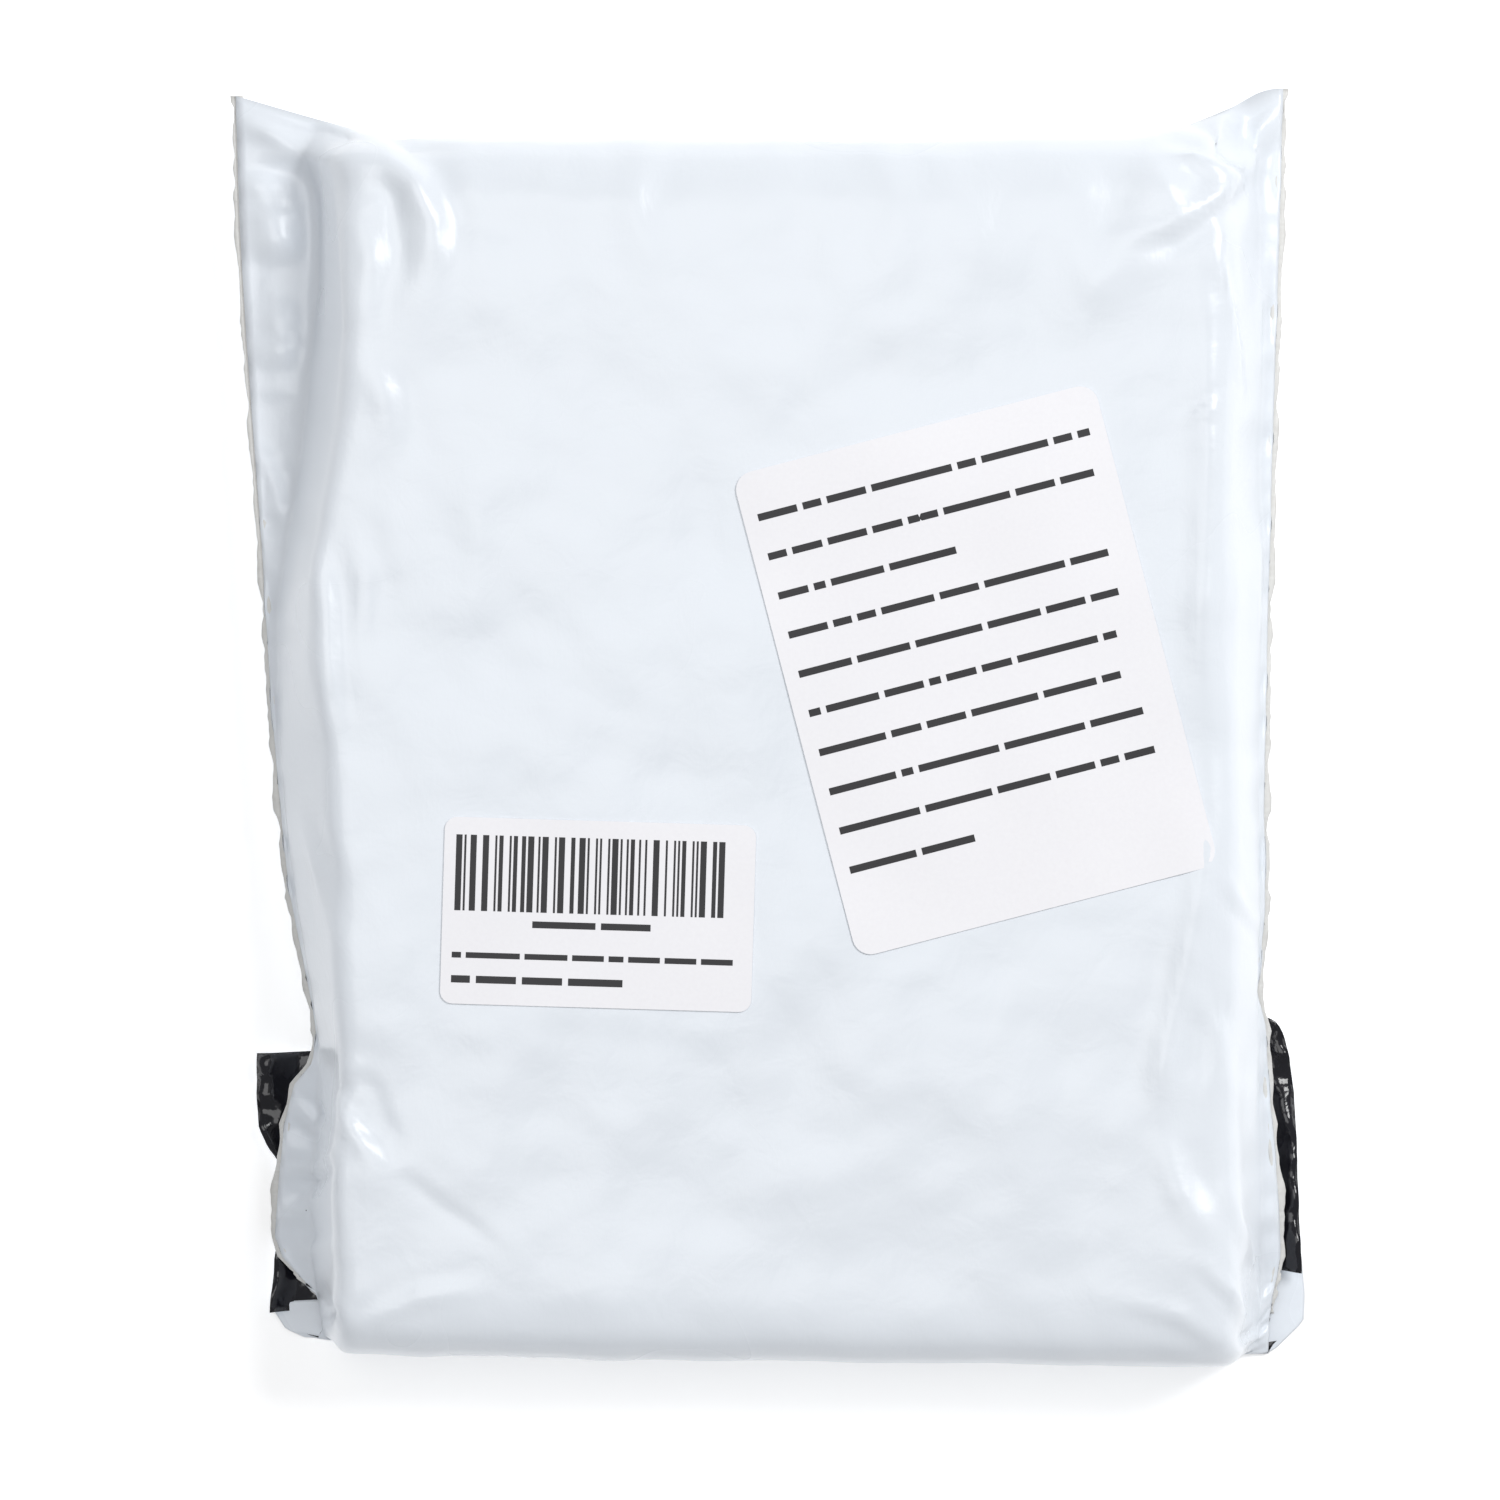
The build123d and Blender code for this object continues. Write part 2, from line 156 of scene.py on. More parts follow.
# %% [markdown]
# ## Film
# Mailer film is blown in two layers, white outside and black inside. It is glossy, but drawing and
# handling leave fine stretch lines and small dents, so its reflections break up. The colour is even
# with a slight cloudiness.

# %% Film materials
def white_film():
    made, tree, shader = material("white_film", IOR=1.5)
    cloud = grain(tree, 0.02, 2.0)
    streak = grain(tree, 0.05, 2.0, stretch=(1.0, 0.12, 1.0))
    colour = blend_colour(tree, cloud, (0.8, 0.845, 0.9, 1), (0.835, 0.875, 0.925, 1))
    dents = grain(tree, 0.16, 3.0, distortion=0.4)
    fine = grain(tree, 1.3, 2.0, stretch=(1.0, 0.35, 1.0))
    height = dents * 0.75 + fine * 0.08 + streak * 0.3
    feed(shader, Base_Color=colour, Roughness=0.22 + 0.12 * cloud, Normal=bump(tree, height, 0.5, 0.4))
    return made


def black_film():
    made, tree, shader = material("black_film", IOR=1.5)
    cloud = grain(tree, 0.05, 2.0)
    colour = blend_colour(tree, cloud, (0.004, 0.004, 0.006, 1), (0.012, 0.012, 0.018, 1))
    dents = grain(tree, 0.22, 3.0, distortion=0.5)
    feed(shader, Base_Color=colour, Roughness=0.1 + 0.1 * cloud, Normal=bump(tree, dents, 0.7, 0.6))
    return made


def weld_film():
    made, tree, shader = material("weld_film", IOR=1.5)
    cloud = grain(tree, 0.5, 3.0)
    colour = blend_colour(tree, cloud, (0.66, 0.65, 0.62, 1), (0.82, 0.82, 0.8, 1))
    ribs = grain(tree, 1.5, 1.0, stretch=(0.1, 1.0, 1.0))
    feed(shader, Base_Color=colour, Roughness=0.35 + 0.2 * cloud, Normal=bump(tree, ribs, 0.15, 0.8))
    return made


WHITE, BLACK, WELD = white_film(), black_film(), weld_film()


# %% [markdown]
# ## The film's shape
# The pouch is one sheet in front and one behind, joined along the side welds and at the bottom
# fold. A sheet is built as a grid of points. Each row crosses the pouch, from one weld over the
# pack to the other. The welds stand clear of the pack, and the film falls from the pack's edge in a
# wall to a flat fin. The routes of the welds, of the pack's edges and of the foot of each wall are
# given lists, kept as offsets from corners of imported pieces. The two side profiles, the
# mouth line and the tilt of the mouth fold are plain millimetres.

# %% Routes of the welds, ridges and wall feet
def beside(name, x_end, y_end, route):
    """A route of offsets from a corner of a CAD node, 0 for its low end and 1 for its high end."""
    corners = node_box(name)
    return [(x + corners[x_end][0], y + corners[y_end][1], *z) for x, y, *z in route]


LEFT_WELD = beside("left_side_weld", 0, 1, [
    (0, 0.1, 8), (0.7, -21.5, 8.6), (1.8, -39.5, 9.2), (3.1, -56.5, 9.8), (4.4, -73.5, 10.6),
    (5.6, -93.5, 11.2), (7, -111.5, 11.2), (8.7, -128.5, 10.8), (10.8, -139.5, 10.3), (12.6, -148.5, 9.4),
    (13.2, -153.5, 8.4), (12.4, -157.5, 7.4), (9.4, -161.1, 6.4), (7.8, -167.5, 5.4), (6.8, -176.5, 4.4),
    (6.1, -186, 3.4), (7.4, -189.5, 3), (10.6, -193.1, 2.6), (13.6, -196.1, 2.2), (15, -199.5, 1.4),
    (13, -203.9, 0.6),
])
RIGHT_WELD = beside("right_side_weld", 1, 1, [
    (-0.3, -0.2, 8), (-1, -25, 9), (-1.6, -43, 9.8), (-2.3, -62, 10.4), (-2.6, -76, 11),
    (-3.3, -100, 11.2), (-3.6, -118, 11.2), (-3.4, -134, 10.8), (-4.7, -147.5, 10.2), (-3.2, -153, 9.4),
    (-2.6, -163, 8), (-1.6, -173.5, 6.4), (-0.8, -182, 4.8), (-0.4, -190.4, 3.4), (-1.4, -196, 2.4),
    (-2.1, -200, 1.6), (-2.3, -205.6, 0.6),
])
LEFT_RIDGE = beside("outer_bag_front_panel", 0, 1, [
    (-0.75, 11), (-0.55, -4), (-0.75, -28), (-2.15, -41), (-5.35, -56), (-7.15, -68), (-6.95, -80),
    (-4.35, -94), (-3.55, -106), (-2.95, -126), (-2.35, -148), (-2.95, -168), (-2.55, -193),
])
LEFT_FOOT = beside("mailer_front_film", 0, 1, [
    (10.5, -2), (11.6, -27), (10.9, -55), (8.2, -68), (5.9, -87), (6.5, -107), (8.1, -125), (10.7, -141),
    (12.5, -153), (12.9, -161), (12.3, -173), (12.1, -191), (13.1, -206),
])
RIGHT_RIDGE = beside("outer_bag_front_panel", 1, 1, [
    (0.61, 11), (1.61, -10), (1.41, -40), (1.61, -80), (1.81, -120), (1.81, -150), (2.01, -193),
])
RIGHT_FOOT = beside("mailer_front_film", 1, 1, [
    (-5, -2), (-3.9, -23), (-3.5, -53), (-3.5, -93), (-3.9, -133), (-3.9, -163), (-3.5, -183),
    (-3.9, -206),
])
FAR_FOLD = beside("mailer_front_film", 0, 1, [
    (-1.5, -1.4), (14, -5.9), (25.4, -9.1), (33.5, -10.2), (136, -10.4), (145.9, -9.4), (151.3, -7.1),
    (154.5, -6.1), (161.2, -3.2), (165.8, -0.3), (169.2, -0.2),
])
FAR_FOLD_Y = 92.6  # of the far fold between the ears
FRONT_PATH = [  # y and z of the front sheet's middle, from the far fold over the pack to the mouth fold
    (FAR_FOLD_Y, 11), (93, 16), (92, 21), (88.8, 24.6), (84, 26.2), (76, 26.8), (-94, 26.8),
    (-99.5, 26), (-102.2, 23), (-103, 18), (-103, 6), (-102.9, 0.5),
]
BACK_PATH = [  # the same under the pack
    (FAR_FOLD_Y, 11), (93, 7), (91.5, 3), (87, 0.6), (80, 0.12), (-44, 0.12), (-48.5, 0.98),
    (-102, 0.98), (-102.6, 0.75),
]


def smooth_step(low, high, x):
    t = np.clip((x - low) / (high - low), 0, 1)
    return t * t * (3 - 2 * t)


def spaced(points, count, rounding=2):
    """A route resampled to evenly spaced points, with its corners rounded a little."""
    points = np.array(points, float)
    run = np.r_[0, np.cumsum(np.linalg.norm(np.diff(points, axis=0), axis=1))]
    out = np.stack([np.interp(np.linspace(0, run[-1], count), run, column) for column in points.T], 1)
    for _ in range(rounding):
        out[1:-1] = (out[:-2] + 2 * out[1:-1] + out[2:]) / 4
    return out


def at(route, y):
    """x of a route of (x, y) points at each y, where y falls along the route."""
    route = np.array(route, float)
    return np.interp(-y, -route[:, 1], route[:, 0])


# %% Grid of the front and back sheets
ROWS, FIN, WALL, TOP = 210, 8, 16, 112
COLUMNS = 2 * (FIN + WALL) + TOP
SHEET_GAP = 0.37  # between the outer faces of the two sheets at a weld
FIN_START, FIN_END = 80, -90  # y where the fin begins and ends to run beside the pack


def normals_of(points):
    across = np.gradient(points, axis=1)
    along = np.gradient(points, axis=0)
    normal = np.cross(along, across)
    return normal / np.maximum(np.linalg.norm(normal, axis=2, keepdims=True), 1e-9)


def sheet_points(path, upper=None):
    """Points of a sheet by row, column and x, y, z. The lower sheet shares upper's fins."""
    centre = spaced(path, ROWS + 1, 4)
    y, z = centre[:, 0], centre[:, 1]
    run = np.arange(ROWS + 1)
    far_end = np.searchsorted(-y, -FIN_START, side="right")
    mouth_end = np.searchsorted(-y, -FIN_END)
    below = None if upper is None else upper - normals_of(upper) * SHEET_GAP
    points = np.zeros((ROWS + 1, COLUMNS + 1, 3))
    for weld_route, ridge, foot, side in (
        (LEFT_WELD, LEFT_RIDGE, LEFT_FOOT, 0), (RIGHT_WELD, RIGHT_RIDGE, RIGHT_FOOT, 1),
    ):
        weld_route = np.array(weld_route)
        ends = [weld_route[0, 1], FIN_START, FIN_END, weld_route[-1, 1]]
        weld_y = np.interp(run, [0, far_end, mouth_end, ROWS], ends)
        weld = np.stack([np.interp(-weld_y, -weld_route[:, 1], weld_route[:, k]) for k in range(3)], 1)
        ridge_x = at(ridge, y)
        foot_y = (weld_y + y) / 2
        foot_x = at(foot, foot_y)
        foot_z = weld[:, 2] * 1.05
        edge = np.abs(z - weld[:, 2])
        foot_z = np.where(edge < 1.5, (z + weld[:, 2]) / 2, foot_z)
        foot_pt = np.stack([foot_x, foot_y, foot_z], 1)
        ridge_pt = np.stack([ridge_x, y, z], 1)
        for k in range(FIN + WALL + 1):
            if k <= FIN:
                p = weld + (foot_pt - weld) * (k / FIN)
            else:
                p = foot_pt + (ridge_pt - foot_pt) * ((k - FIN) / WALL)
            points[:, k if side == 0 else COLUMNS - k] = p
        if upper is not None:
            fins = range(FIN + 1) if side == 0 else range(COLUMNS - FIN, COLUMNS + 1)
            foot_pt = below[:, FIN if side == 0 else COLUMNS - FIN]
            for k in fins:
                points[:, k] = below[:, k]
            for k in range(FIN + 1, FIN + WALL + 1):
                p = foot_pt + (ridge_pt - foot_pt) * ((k - FIN) / WALL)
                points[:, k if side == 0 else COLUMNS - k] = p
    left, right = points[:, FIN + WALL].copy(), points[:, COLUMNS - FIN - WALL].copy()
    for k in range(1, TOP):
        points[:, FIN + WALL + k] = left + (right - left) * (k / TOP)
    fold = np.array(FAR_FOLD)
    if upper is not None:
        points[0] = below[0]
        return points
    rise = np.interp(points[:, :, 0], fold[:, 0], fold[:, 1]) - FAR_FOLD_Y
    fade = np.clip(1 - run / far_end, 0, 1) ** 1.5
    inward = np.minimum(np.arange(COLUMNS + 1), COLUMNS - np.arange(COLUMNS + 1))
    on_wall = np.clip((inward - FIN) / WALL, 0, 1)
    points[:, :, 1] += rise * fade[:, None] * on_wall[None, :]
    points[0, :, 1] = np.interp(points[0, :, 0], fold[:, 0], fold[:, 1])
    return points


def soften(points, times, columns):
    """Rounds the grid across the given columns, edges of the grid held."""
    for _ in range(times):
        mid = (points[:, :-2] + 2 * points[:, 1:-1] + points[:, 2:]) / 4
        points[:, 1:-1][:, columns] = mid[:, columns]
    return points


front = sheet_points(FRONT_PATH)
column = np.arange(1, COLUMNS)
left_zone = (column > FIN - 4) & (column < FIN + WALL + 8)
right_zone = column > COLUMNS - FIN - WALL - 16
front = soften(front, 3, left_zone)
front = soften(front, 9, right_zone & (column < COLUMNS - 2))
print("front sheet", front.shape, "from", front.min((0, 1)).round(1), "to", front.max((0, 1)).round(1))


# %% [markdown]
# ## Creases
# A crease in stiff film is a fold that ran out: a narrow ridge or dent, sharp at one end and gone
# at the other. It can be sculpted by hand or written as a route with a height at each of its
# points. A route was chosen, because it can be moved and tried again.

# %% Distance to a route, and the crease it makes
def to_route(points, route):
    """Each point's distance to a route in x and y, its share of the way along, and its side."""
    route = np.array(route, float)
    xy = points[..., :2]
    best = np.full(xy.shape[:-1], 1e9)
    share = np.zeros_like(best)
    side = np.zeros_like(best)
    pieces = len(route) - 1
    for k in range(pieces):
        a, b = route[k, :2], route[k + 1, :2]
        run = b - a
        t = np.clip(((xy - a) @ run) / (run @ run), 0, 1)
        gap = xy - (a + t[..., None] * run)
        distance = np.linalg.norm(gap, axis=-1)
        near = distance < best
        best = np.where(near, distance, best)
        share = np.where(near, (k + t) / pieces, share)
        side = np.where(near, np.sign(run[0] * gap[..., 1] - run[1] * gap[..., 0]), side)
    return best, share, side


def crease(points, normals, route, heights, width, lean):
    """Raises points along a route by the heights at its points. lean dents one side beside it."""
    distance, share, side = to_route(points, route)
    height = np.interp(share * (len(heights) - 1), np.arange(len(heights)), heights)
    t = distance / width
    profile = np.maximum(1 - t, 0) ** 1.3
    dent = lean * np.exp(-((t - 1.1) ** 2) * 2.2) * (side > 0)
    points += normals * (height * (profile - dent))[..., None]


def lumps(points, size, seed, octaves=2):
    """Smooth noise from about -1 to 1 at each point, with features of a size in millimetres."""
    flat = points.reshape(-1, 3) / size
    value = [noise.fractal(Vector((x, y, z * 0.3 + seed)), 0.6, 2.1, octaves) for x, y, z in flat]
    return np.array(value).reshape(points.shape[:-1])


# %% [markdown]
# The top of the pouch lies on soft folded cloth. It carries wide shallow swells, the gathers that
# run in from the two ears, a shoulder along the right edge and the creases of a folded lower left
# corner. Under the stickers its smaller swells are left out, because the paper holds it.

# %% Swells and creases of the front sheet
LABEL_SPOTS = [  # node, width, height, turn in degrees
    ("barcode_label", 50.0, 30.0, -1.7),
    ("description_label", 60.0, 80.0, 14.6),
]


def label_frame(name, turn):
    low, high = node_box(name)
    centre = (low + high) / 2
    c, s = math.cos(math.radians(turn)), math.sin(math.radians(turn))
    return centre, np.array([c, s]), np.array([-s, c])


def under_labels(points, margin=2.0):
    """1 where a point lies under a sticker, falling to 0 over a few millimetres."""
    held = np.zeros(points.shape[:-1])
    for name, width, height, turn in LABEL_SPOTS:
        centre, right, up = label_frame(name, turn)
        rel = points[..., :2] - centre[:2]
        out = np.maximum(np.abs(rel @ right) - width / 2, np.abs(rel @ up) - height / 2)
        held = np.maximum(held, 1 - smooth_step(0, margin + 4, out))
    return held


TOP_CREASES = [  # route, heights along it in millimetres, width, lean
    ([(-85, 99.6), (-77.8, 93.6), (-68.5, 90.2), (-60.5, 90)], [0.8, 2.4, 2.4, 0.6], 5, 0.9),
    ([(-83.5, 90), (-78.5, 84), (-75.5, 72)], [0.2, 1.4, 0.2], 5.5, 0.4),
    ([(-83, 76), (-79, 73), (-76.5, 64)], [0.2, -1, -0.1], 4, 0.4),
    ([(-60.5, 90), (-55.5, 86.5), (-52.5, 80), (-52.1, 71)], [0.8, 1.9, 1.6, 0.1], 3.6, 0.5),
    ([(-62, 87.5), (-59.4, 84), (-57.7, 76), (-57.1, 68)], [-0.2, -1.6, -1.2, 0], 3.2, 0.3),
    ([(-64.5, 82), (-62.7, 74), (-63, 60)], [0.2, 1.3, 0.2], 3, 0.4),
    ([(-64.5, 96.5), (-56.5, 92.8), (-47.5, 92)], [0.5, -1.9, 0], 2.6, 0.5),
    ([(67.5, 98), (72.5, 96.5), (76, 93), (77.9, 88.6)], [-0.3, -2.2, -2.4, -0.2], 3.2, -0.7),
    ([(63.5, 91), (70, 90.4), (76.3, 87.6)], [0.1, 1.7, 0.9], 2.4, 0.8),
    ([(80, 94), (75, 85), (65.5, 79), (56.5, 77)], [0.2, 1.3, 1, 0], 2.6, 0.7),
    ([(84.7, 101.8), (81.1, 96), (79.1, 88), (78.5, 80)], [0.8, 1.8, 1.3, 0], 3, 0.3),
    ([(61.5, 92.5), (66, 85), (68, 76)], [0.2, 1.2, 0], 4.5, 0.4),
    ([(53.5, 91.5), (57.5, 84), (53.5, 72)], [0.2, -0.8, 0], 5.5, 0.3),
    ([(67.5, 80), (53.5, 70), (43.5, 60)], [0, 0.8, 0], 6.5, 0.3),
    ([(74.9, 81), (73.9, 74), (76.9, 60), (77.9, 50)], [0, 0.9, 0.6, 0], 1.5, 0.7),
    ([(66.6, 47.2), (71.5, 49.6), (76.1, 52.4)], [0, 0.7, 0.1], 1.3, 0.8),
    ([(72.1, 70), (72.4, 40), (70.9, 14), (71.7, 2)], [0.2, 1.4, 1.6, 0.1], 4.6, 0.3),
    ([(72.1, -16), (70.8, -28.9), (64.9, -56), (63.7, -66)], [0, 1.3, 1.6, 0], 4.4, 0.5),
    ([(-48, 42), (-45, 28), (-48.5, 6)], [0, 0.7, 0], 6.5, 0.2),
    ([(-67.7, -58), (-67.9, -72), (-67.7, -86)], [0.2, 1, 0.3], 2.2, 0.3),
    ([(-67.1, -57.5), (-64.9, -61.5), (-61.2, -68.8)], [0.4, -2.2, -0.5], 2.2, -0.9),
    ([(-67.7, -61.1), (-65.5, -66.8), (-61.9, -69.3)], [0.4, 1.5, 0.2], 1.8, 0.5),
    ([(63.7, -66), (67.5, -76), (71.5, -84)], [0.2, 1.2, 0], 4, 0.4),
    ([(69.5, -42), (73, -50), (74.5, -60)], [0, 1, 0], 2.6, 0.5),
    ([(-65.1, -68.8), (-55.7, -75.1), (-46.4, -81.8), (-38.5, -88)], [0.5, -0.5, -0.35, 0], 2.2, 0.3),
    ([(-67.8, -68.6), (-72.9, -74), (-77.5, -74)], [0.3, 0.9, 0.3], 1.4, 0.9),
    ([(-72, -90.2), (-69.1, -95.8), (-70.9, -98.4)], [0.2, -2, -0.4], 1.5, 0.4),
    ([(76, -101), (80, -100), (83.5, -99.6)], [0.1, 0.9, 0.3], 1.2, 0.7),
    ([(80.5, -99), (75.5, -92), (69.5, -86)], [0.4, 1, 0], 1.8, 0.6),
    ([(81.5, -96), (78.5, -84), (74.5, -74)], [0.2, 0.9, 0], 1.8, 0.5),
    ([(77.5, -101), (67.5, -95.5), (55.5, -93)], [0.2, 0.8, 0], 2.2, 0.5),
    ([(-64.5, -98), (-54.5, -93), (-42.5, -91)], [0.4, 0.7, 0], 2.6, 0.4),
    ([(-84, 93), (-79.5, 78), (-78, 62), (-78.5, 50)], [0.2, 1.6, 1.1, 0], 4.2, 0.5),
    ([(-76, 95), (-73, 84), (-72.5, 70), (-74.5, 54)], [0.2, -1.5, -1.2, 0], 3, 0.5),
    ([(-69.5, 92), (-67, 80), (-66, 66), (-67, 52)], [0.3, 1.5, 1.1, 0], 3.4, 0.4),
    ([(-64.5, 60), (-60.5, 52), (-58.5, 40)], [0, 0.9, 0], 3.6, 0.4),
    ([(-82.5, 46), (-79, 38), (-77, 28)], [0.1, 1, 0], 2.4, 0.5),
    ([(-72, 30), (-70, 18), (-69.5, 4), (-68, -8)], [0, 1.2, 1, 0], 2.6, 0.4),
    ([(-66.5, 34), (-63.5, 22), (-65, 8)], [0, 0.8, 0], 3, 0.3),
    ([(-75, -14), (-71.5, -24), (-69, -36)], [0, 1.1, 0], 2.2, 0.6),
    ([(-76.3, -62), (-72.9, -66), (-70, -67.5)], [0.2, 1.2, 0.2], 1.8, 0.5),
    ([(-77.5, -82), (-74, -80), (-70.5, -77)], [0.2, 1.1, 0.2], 2.2, 0.5),
    ([(-78, -88), (-73.5, -87), (-69.5, -84.5)], [0.2, 1, 0.2], 1.8, 0.5),
    ([(83, 78), (81, 66), (81.5, 50)], [0.1, 0.9, 0], 2, 0.5),
    ([(82, 34), (80.5, 20), (81.1, 4)], [0.1, 0.8, 0], 1.8, 0.5),
    ([(81.3, -46), (80, -60), (80.5, -74)], [0.1, 0.9, 0], 2, 0.5),
    ([(81.7, -34), (77.5, -30), (74, -24)], [0.2, 0.8, 0], 1.8, 0.5),
    ([(-18.5, 91), (-20.5, 82), (-16.5, 70)], [0.3, 0.4, 0], 4.5, 0.2),
    ([(19.5, 91), (22.5, 80), (18.5, 68)], [0.3, 0.3, 0], 5, 0.2),
]

free = 1 - under_labels(front)
row, side_column = np.arange(ROWS + 1)[:, None], np.arange(COLUMNS + 1)[None, :]
fade_rows = smooth_step(0, 5, row) * smooth_step(0, 8, ROWS - row)
fade_sides = smooth_step(1, 10, np.minimum(side_column, COLUMNS - side_column))
swell = 0.9 + 0.75 * lumps(front, 34.0, 3.1) + 0.35 * lumps(front, 13.0, 7.7) * free
base_normals = normals_of(front)
front += base_normals * (np.maximum(swell, 0.05) * fade_rows * fade_sides)[..., None]
film_middle = sum(node_box("mailer_front_film")) / 2
for route, heights, width, lean in TOP_CREASES:
    route, heights = np.array(route) + film_middle[:2], np.array(heights) * 0.8
    crease(front, base_normals * fade_rows[..., None], route, heights, width, lean)


# %% Small wrinkles along the fins and round the edges
def fin_wrinkles(points, seed):
    """Short wrinkles across each fin, strongest near the weld, as where a weld has shrunk the film."""
    run = np.arange(points.shape[0])
    short = np.array([noise.noise(Vector((j * 0.31, seed, 0.0))) for j in run])
    long = np.array([noise.noise(Vector((j * 0.11, seed, 5.0))) for j in run])
    ripple = short + 0.7 * long
    for side in (0, 1):
        away = np.arange(points.shape[1])
        away = away if side == 0 else away[::-1]
        near = np.exp(-(((away - 3.0) / 4.5) ** 2)) * (away > 0)
        points[..., 2] += 0.75 * ripple[:, None] * near[None, :] * fade_rows[: points.shape[0]]
        ripple = ripple[::-1]


fin_wrinkles(front, 2.2)


def clear_of_pack(points):
    """Lifts the sheet off the folded bag, and off the round of its last fold."""
    low, high = node_box("outer_bag_front_panel")
    across = (points[..., 0] > low[0] - 1.0) & (points[..., 0] < high[0] + 0.35)
    centre_z = (low[2] + high[2]) / 2
    reach = high[2] - centre_z + 0.32
    bend_y = high[1] - (high[2] - centre_z)
    rows_on_top = np.arange(points.shape[0])[:, None] < ROWS - 14
    top = across & rows_on_top & (points[..., 1] > low[1] + 1.0) & (points[..., 1] <= bend_y)
    points[..., 2] = np.where(top, np.maximum(points[..., 2], centre_z + reach), points[..., 2])
    rel = np.stack([points[..., 1] - bend_y, points[..., 2] - centre_z], -1)
    far = np.maximum(np.linalg.norm(rel, axis=-1), 1e-6)
    push = np.where(across & (rel[..., 0] > 0) & (far < reach), reach / far, 1.0)
    points[..., 1] = bend_y + rel[..., 0] * np.where(rel[..., 0] > 0, push, 1.0)
    points[..., 2] = np.where(rel[..., 0] > 0, centre_z + rel[..., 1] * push, points[..., 2])


clear_of_pack(front)
back = sheet_points(BACK_PATH, front)
back = soften(back, 6, (column > FIN + 1) & (column < COLUMNS - FIN - 1))
print("front sheet from", front.min((0, 1)).round(1), "to", front.max((0, 1)).round(1))


# %% [markdown]
# ## Turned-under end
# Beyond the pack the empty pouch is turned under: its front sheet lies lowest, its back sheet on
# that. They are modelled as more rows of the same two sheets, so that each sheet runs on round the
# fold without a break.

# %% Rows of the turned-under end
MOUTH_SKEW = math.tan(math.radians(2.6))
MOUTH_Y = -91.6  # at x = 2


def mouth_line(x):
    return MOUTH_Y + MOUTH_SKEW * (x - 2.0)


def tail_rows(first, left_side, right_side, level, rows=14):
    """Rows from the fold to the mouth line, inside two side routes of (x, y) points."""
    left_side, right_side = np.array(left_side, float), np.array(right_side, float)
    out = []
    share = (first[:, 0] - first[0, 0]) / (first[-1, 0] - first[0, 0])
    near_left = np.clip(1 - share / 0.05, 0, 1) ** 2
    near_right = np.clip(1 - (1 - share) / 0.05, 0, 1) ** 2
    for r in range(1, rows + 1):
        t = r / rows
        stops = np.linspace(0, 1, len(left_side))
        (left_x, left_y), (right_x, right_y) = (
            [np.interp(t, stops, side[:, k]) for k in (0, 1)] for side in (left_side, right_side)
        )
        x = left_x + (right_x - left_x) * share
        middle = first[:, 1] + (mouth_line(x) - first[:, 1]) * t
        y = middle + (left_y - middle[0]) * near_left + (right_y - middle[-1]) * near_right
        z = first[:, 2] + (level - first[:, 2]) * min(1.0, t * 6)
        out.append(np.stack([x, y, z], 1))
    return np.array(out)


def tilt_fold(points):
    """The fold was made a little crooked, lower on the right."""
    near = smooth_step(-92, -102, points[..., 1])
    points[..., 1] += near * (1.0 - 2.3 * (points[..., 0] + 76) / 158)


tilt_fold(front)
tilt_fold(back)
front_tail = tail_rows(
    front[-1], [(-75.0, -101.2), (-78.9, -99.4), (-80.6, -96.9), (-80.9, -95.4)],
    [(81.4, -103.5), (86.7, -98.4), (87.0, -94.0), (86.5, -87.8)], 0.1,
)
back_tail = tail_rows(
    back[-1], [(-75.4, -101.6), (-79.3, -99.8), (-81.1, -97.0), (-81.5, -95.4)],
    [(82.0, -104.0), (87.5, -98.6), (87.7, -94.0), (87.1, -87.8)], 0.5,
)
front_rows = np.concatenate([front, front_tail])
back_rows = np.concatenate([back, back_tail])


# %% [markdown]
# ## Film pieces
# A film sheet is far thinner than it is wide, so it is drawn as one surface and given its thickness
# by Solidify. The inner face and the outer face get their own colour, as in blown film with two
# layers.

# %% Mesh helpers
def new_mesh(name, vertices, faces):
    mesh = bpy.data.meshes.new(name)
    mesh.from_pydata((np.array(vertices) * MM).tolist(), [], faces)
    made = bpy.data.objects.new(name, mesh)
    bpy.context.scene.collection.objects.link(made)
    return made


def grid_faces(rows, columns, flip=False):
    faces = []
    for j in range(rows - 1):
        for i in range(columns - 1):
            a = j * columns + i
            quad = (a, a + columns, a + columns + 1, a + 1)
            faces.append(quad[::-1] if flip else quad)
    return faces


def grid_object(name, points, flip=False):
    rows, columns = points.shape[:2]
    return new_mesh(name, points.reshape(-1, 3), grid_faces(rows, columns, flip))


def pick(made):
    bpy.ops.object.select_all(action="DESELECT")
    made.select_set(True)
    bpy.context.view_layer.objects.active = made


def apply_modifier(made, kind, **settings):
    pick(made)
    modifier = made.modifiers.new(kind.title(), kind)
    for name, value in settings.items():
        setattr(modifier, name, value)
    bpy.ops.object.modifier_apply(modifier=modifier.name)


def thicken(made, thickness, offset=-1.0, inner=0):
    apply_modifier(made, "SOLIDIFY", thickness=thickness * MM, offset=offset, material_offset=inner)


def dress(made, slot_name, *materials, smooth=True):
    for finish in materials:
        made.data.materials.append(finish)
    if smooth:
        made.data.shade_smooth()


def report(made):
    triangles = sum(len(f.vertices) - 2 for f in made.data.polygons)
    print(f"{made.name}: {triangles} triangles")


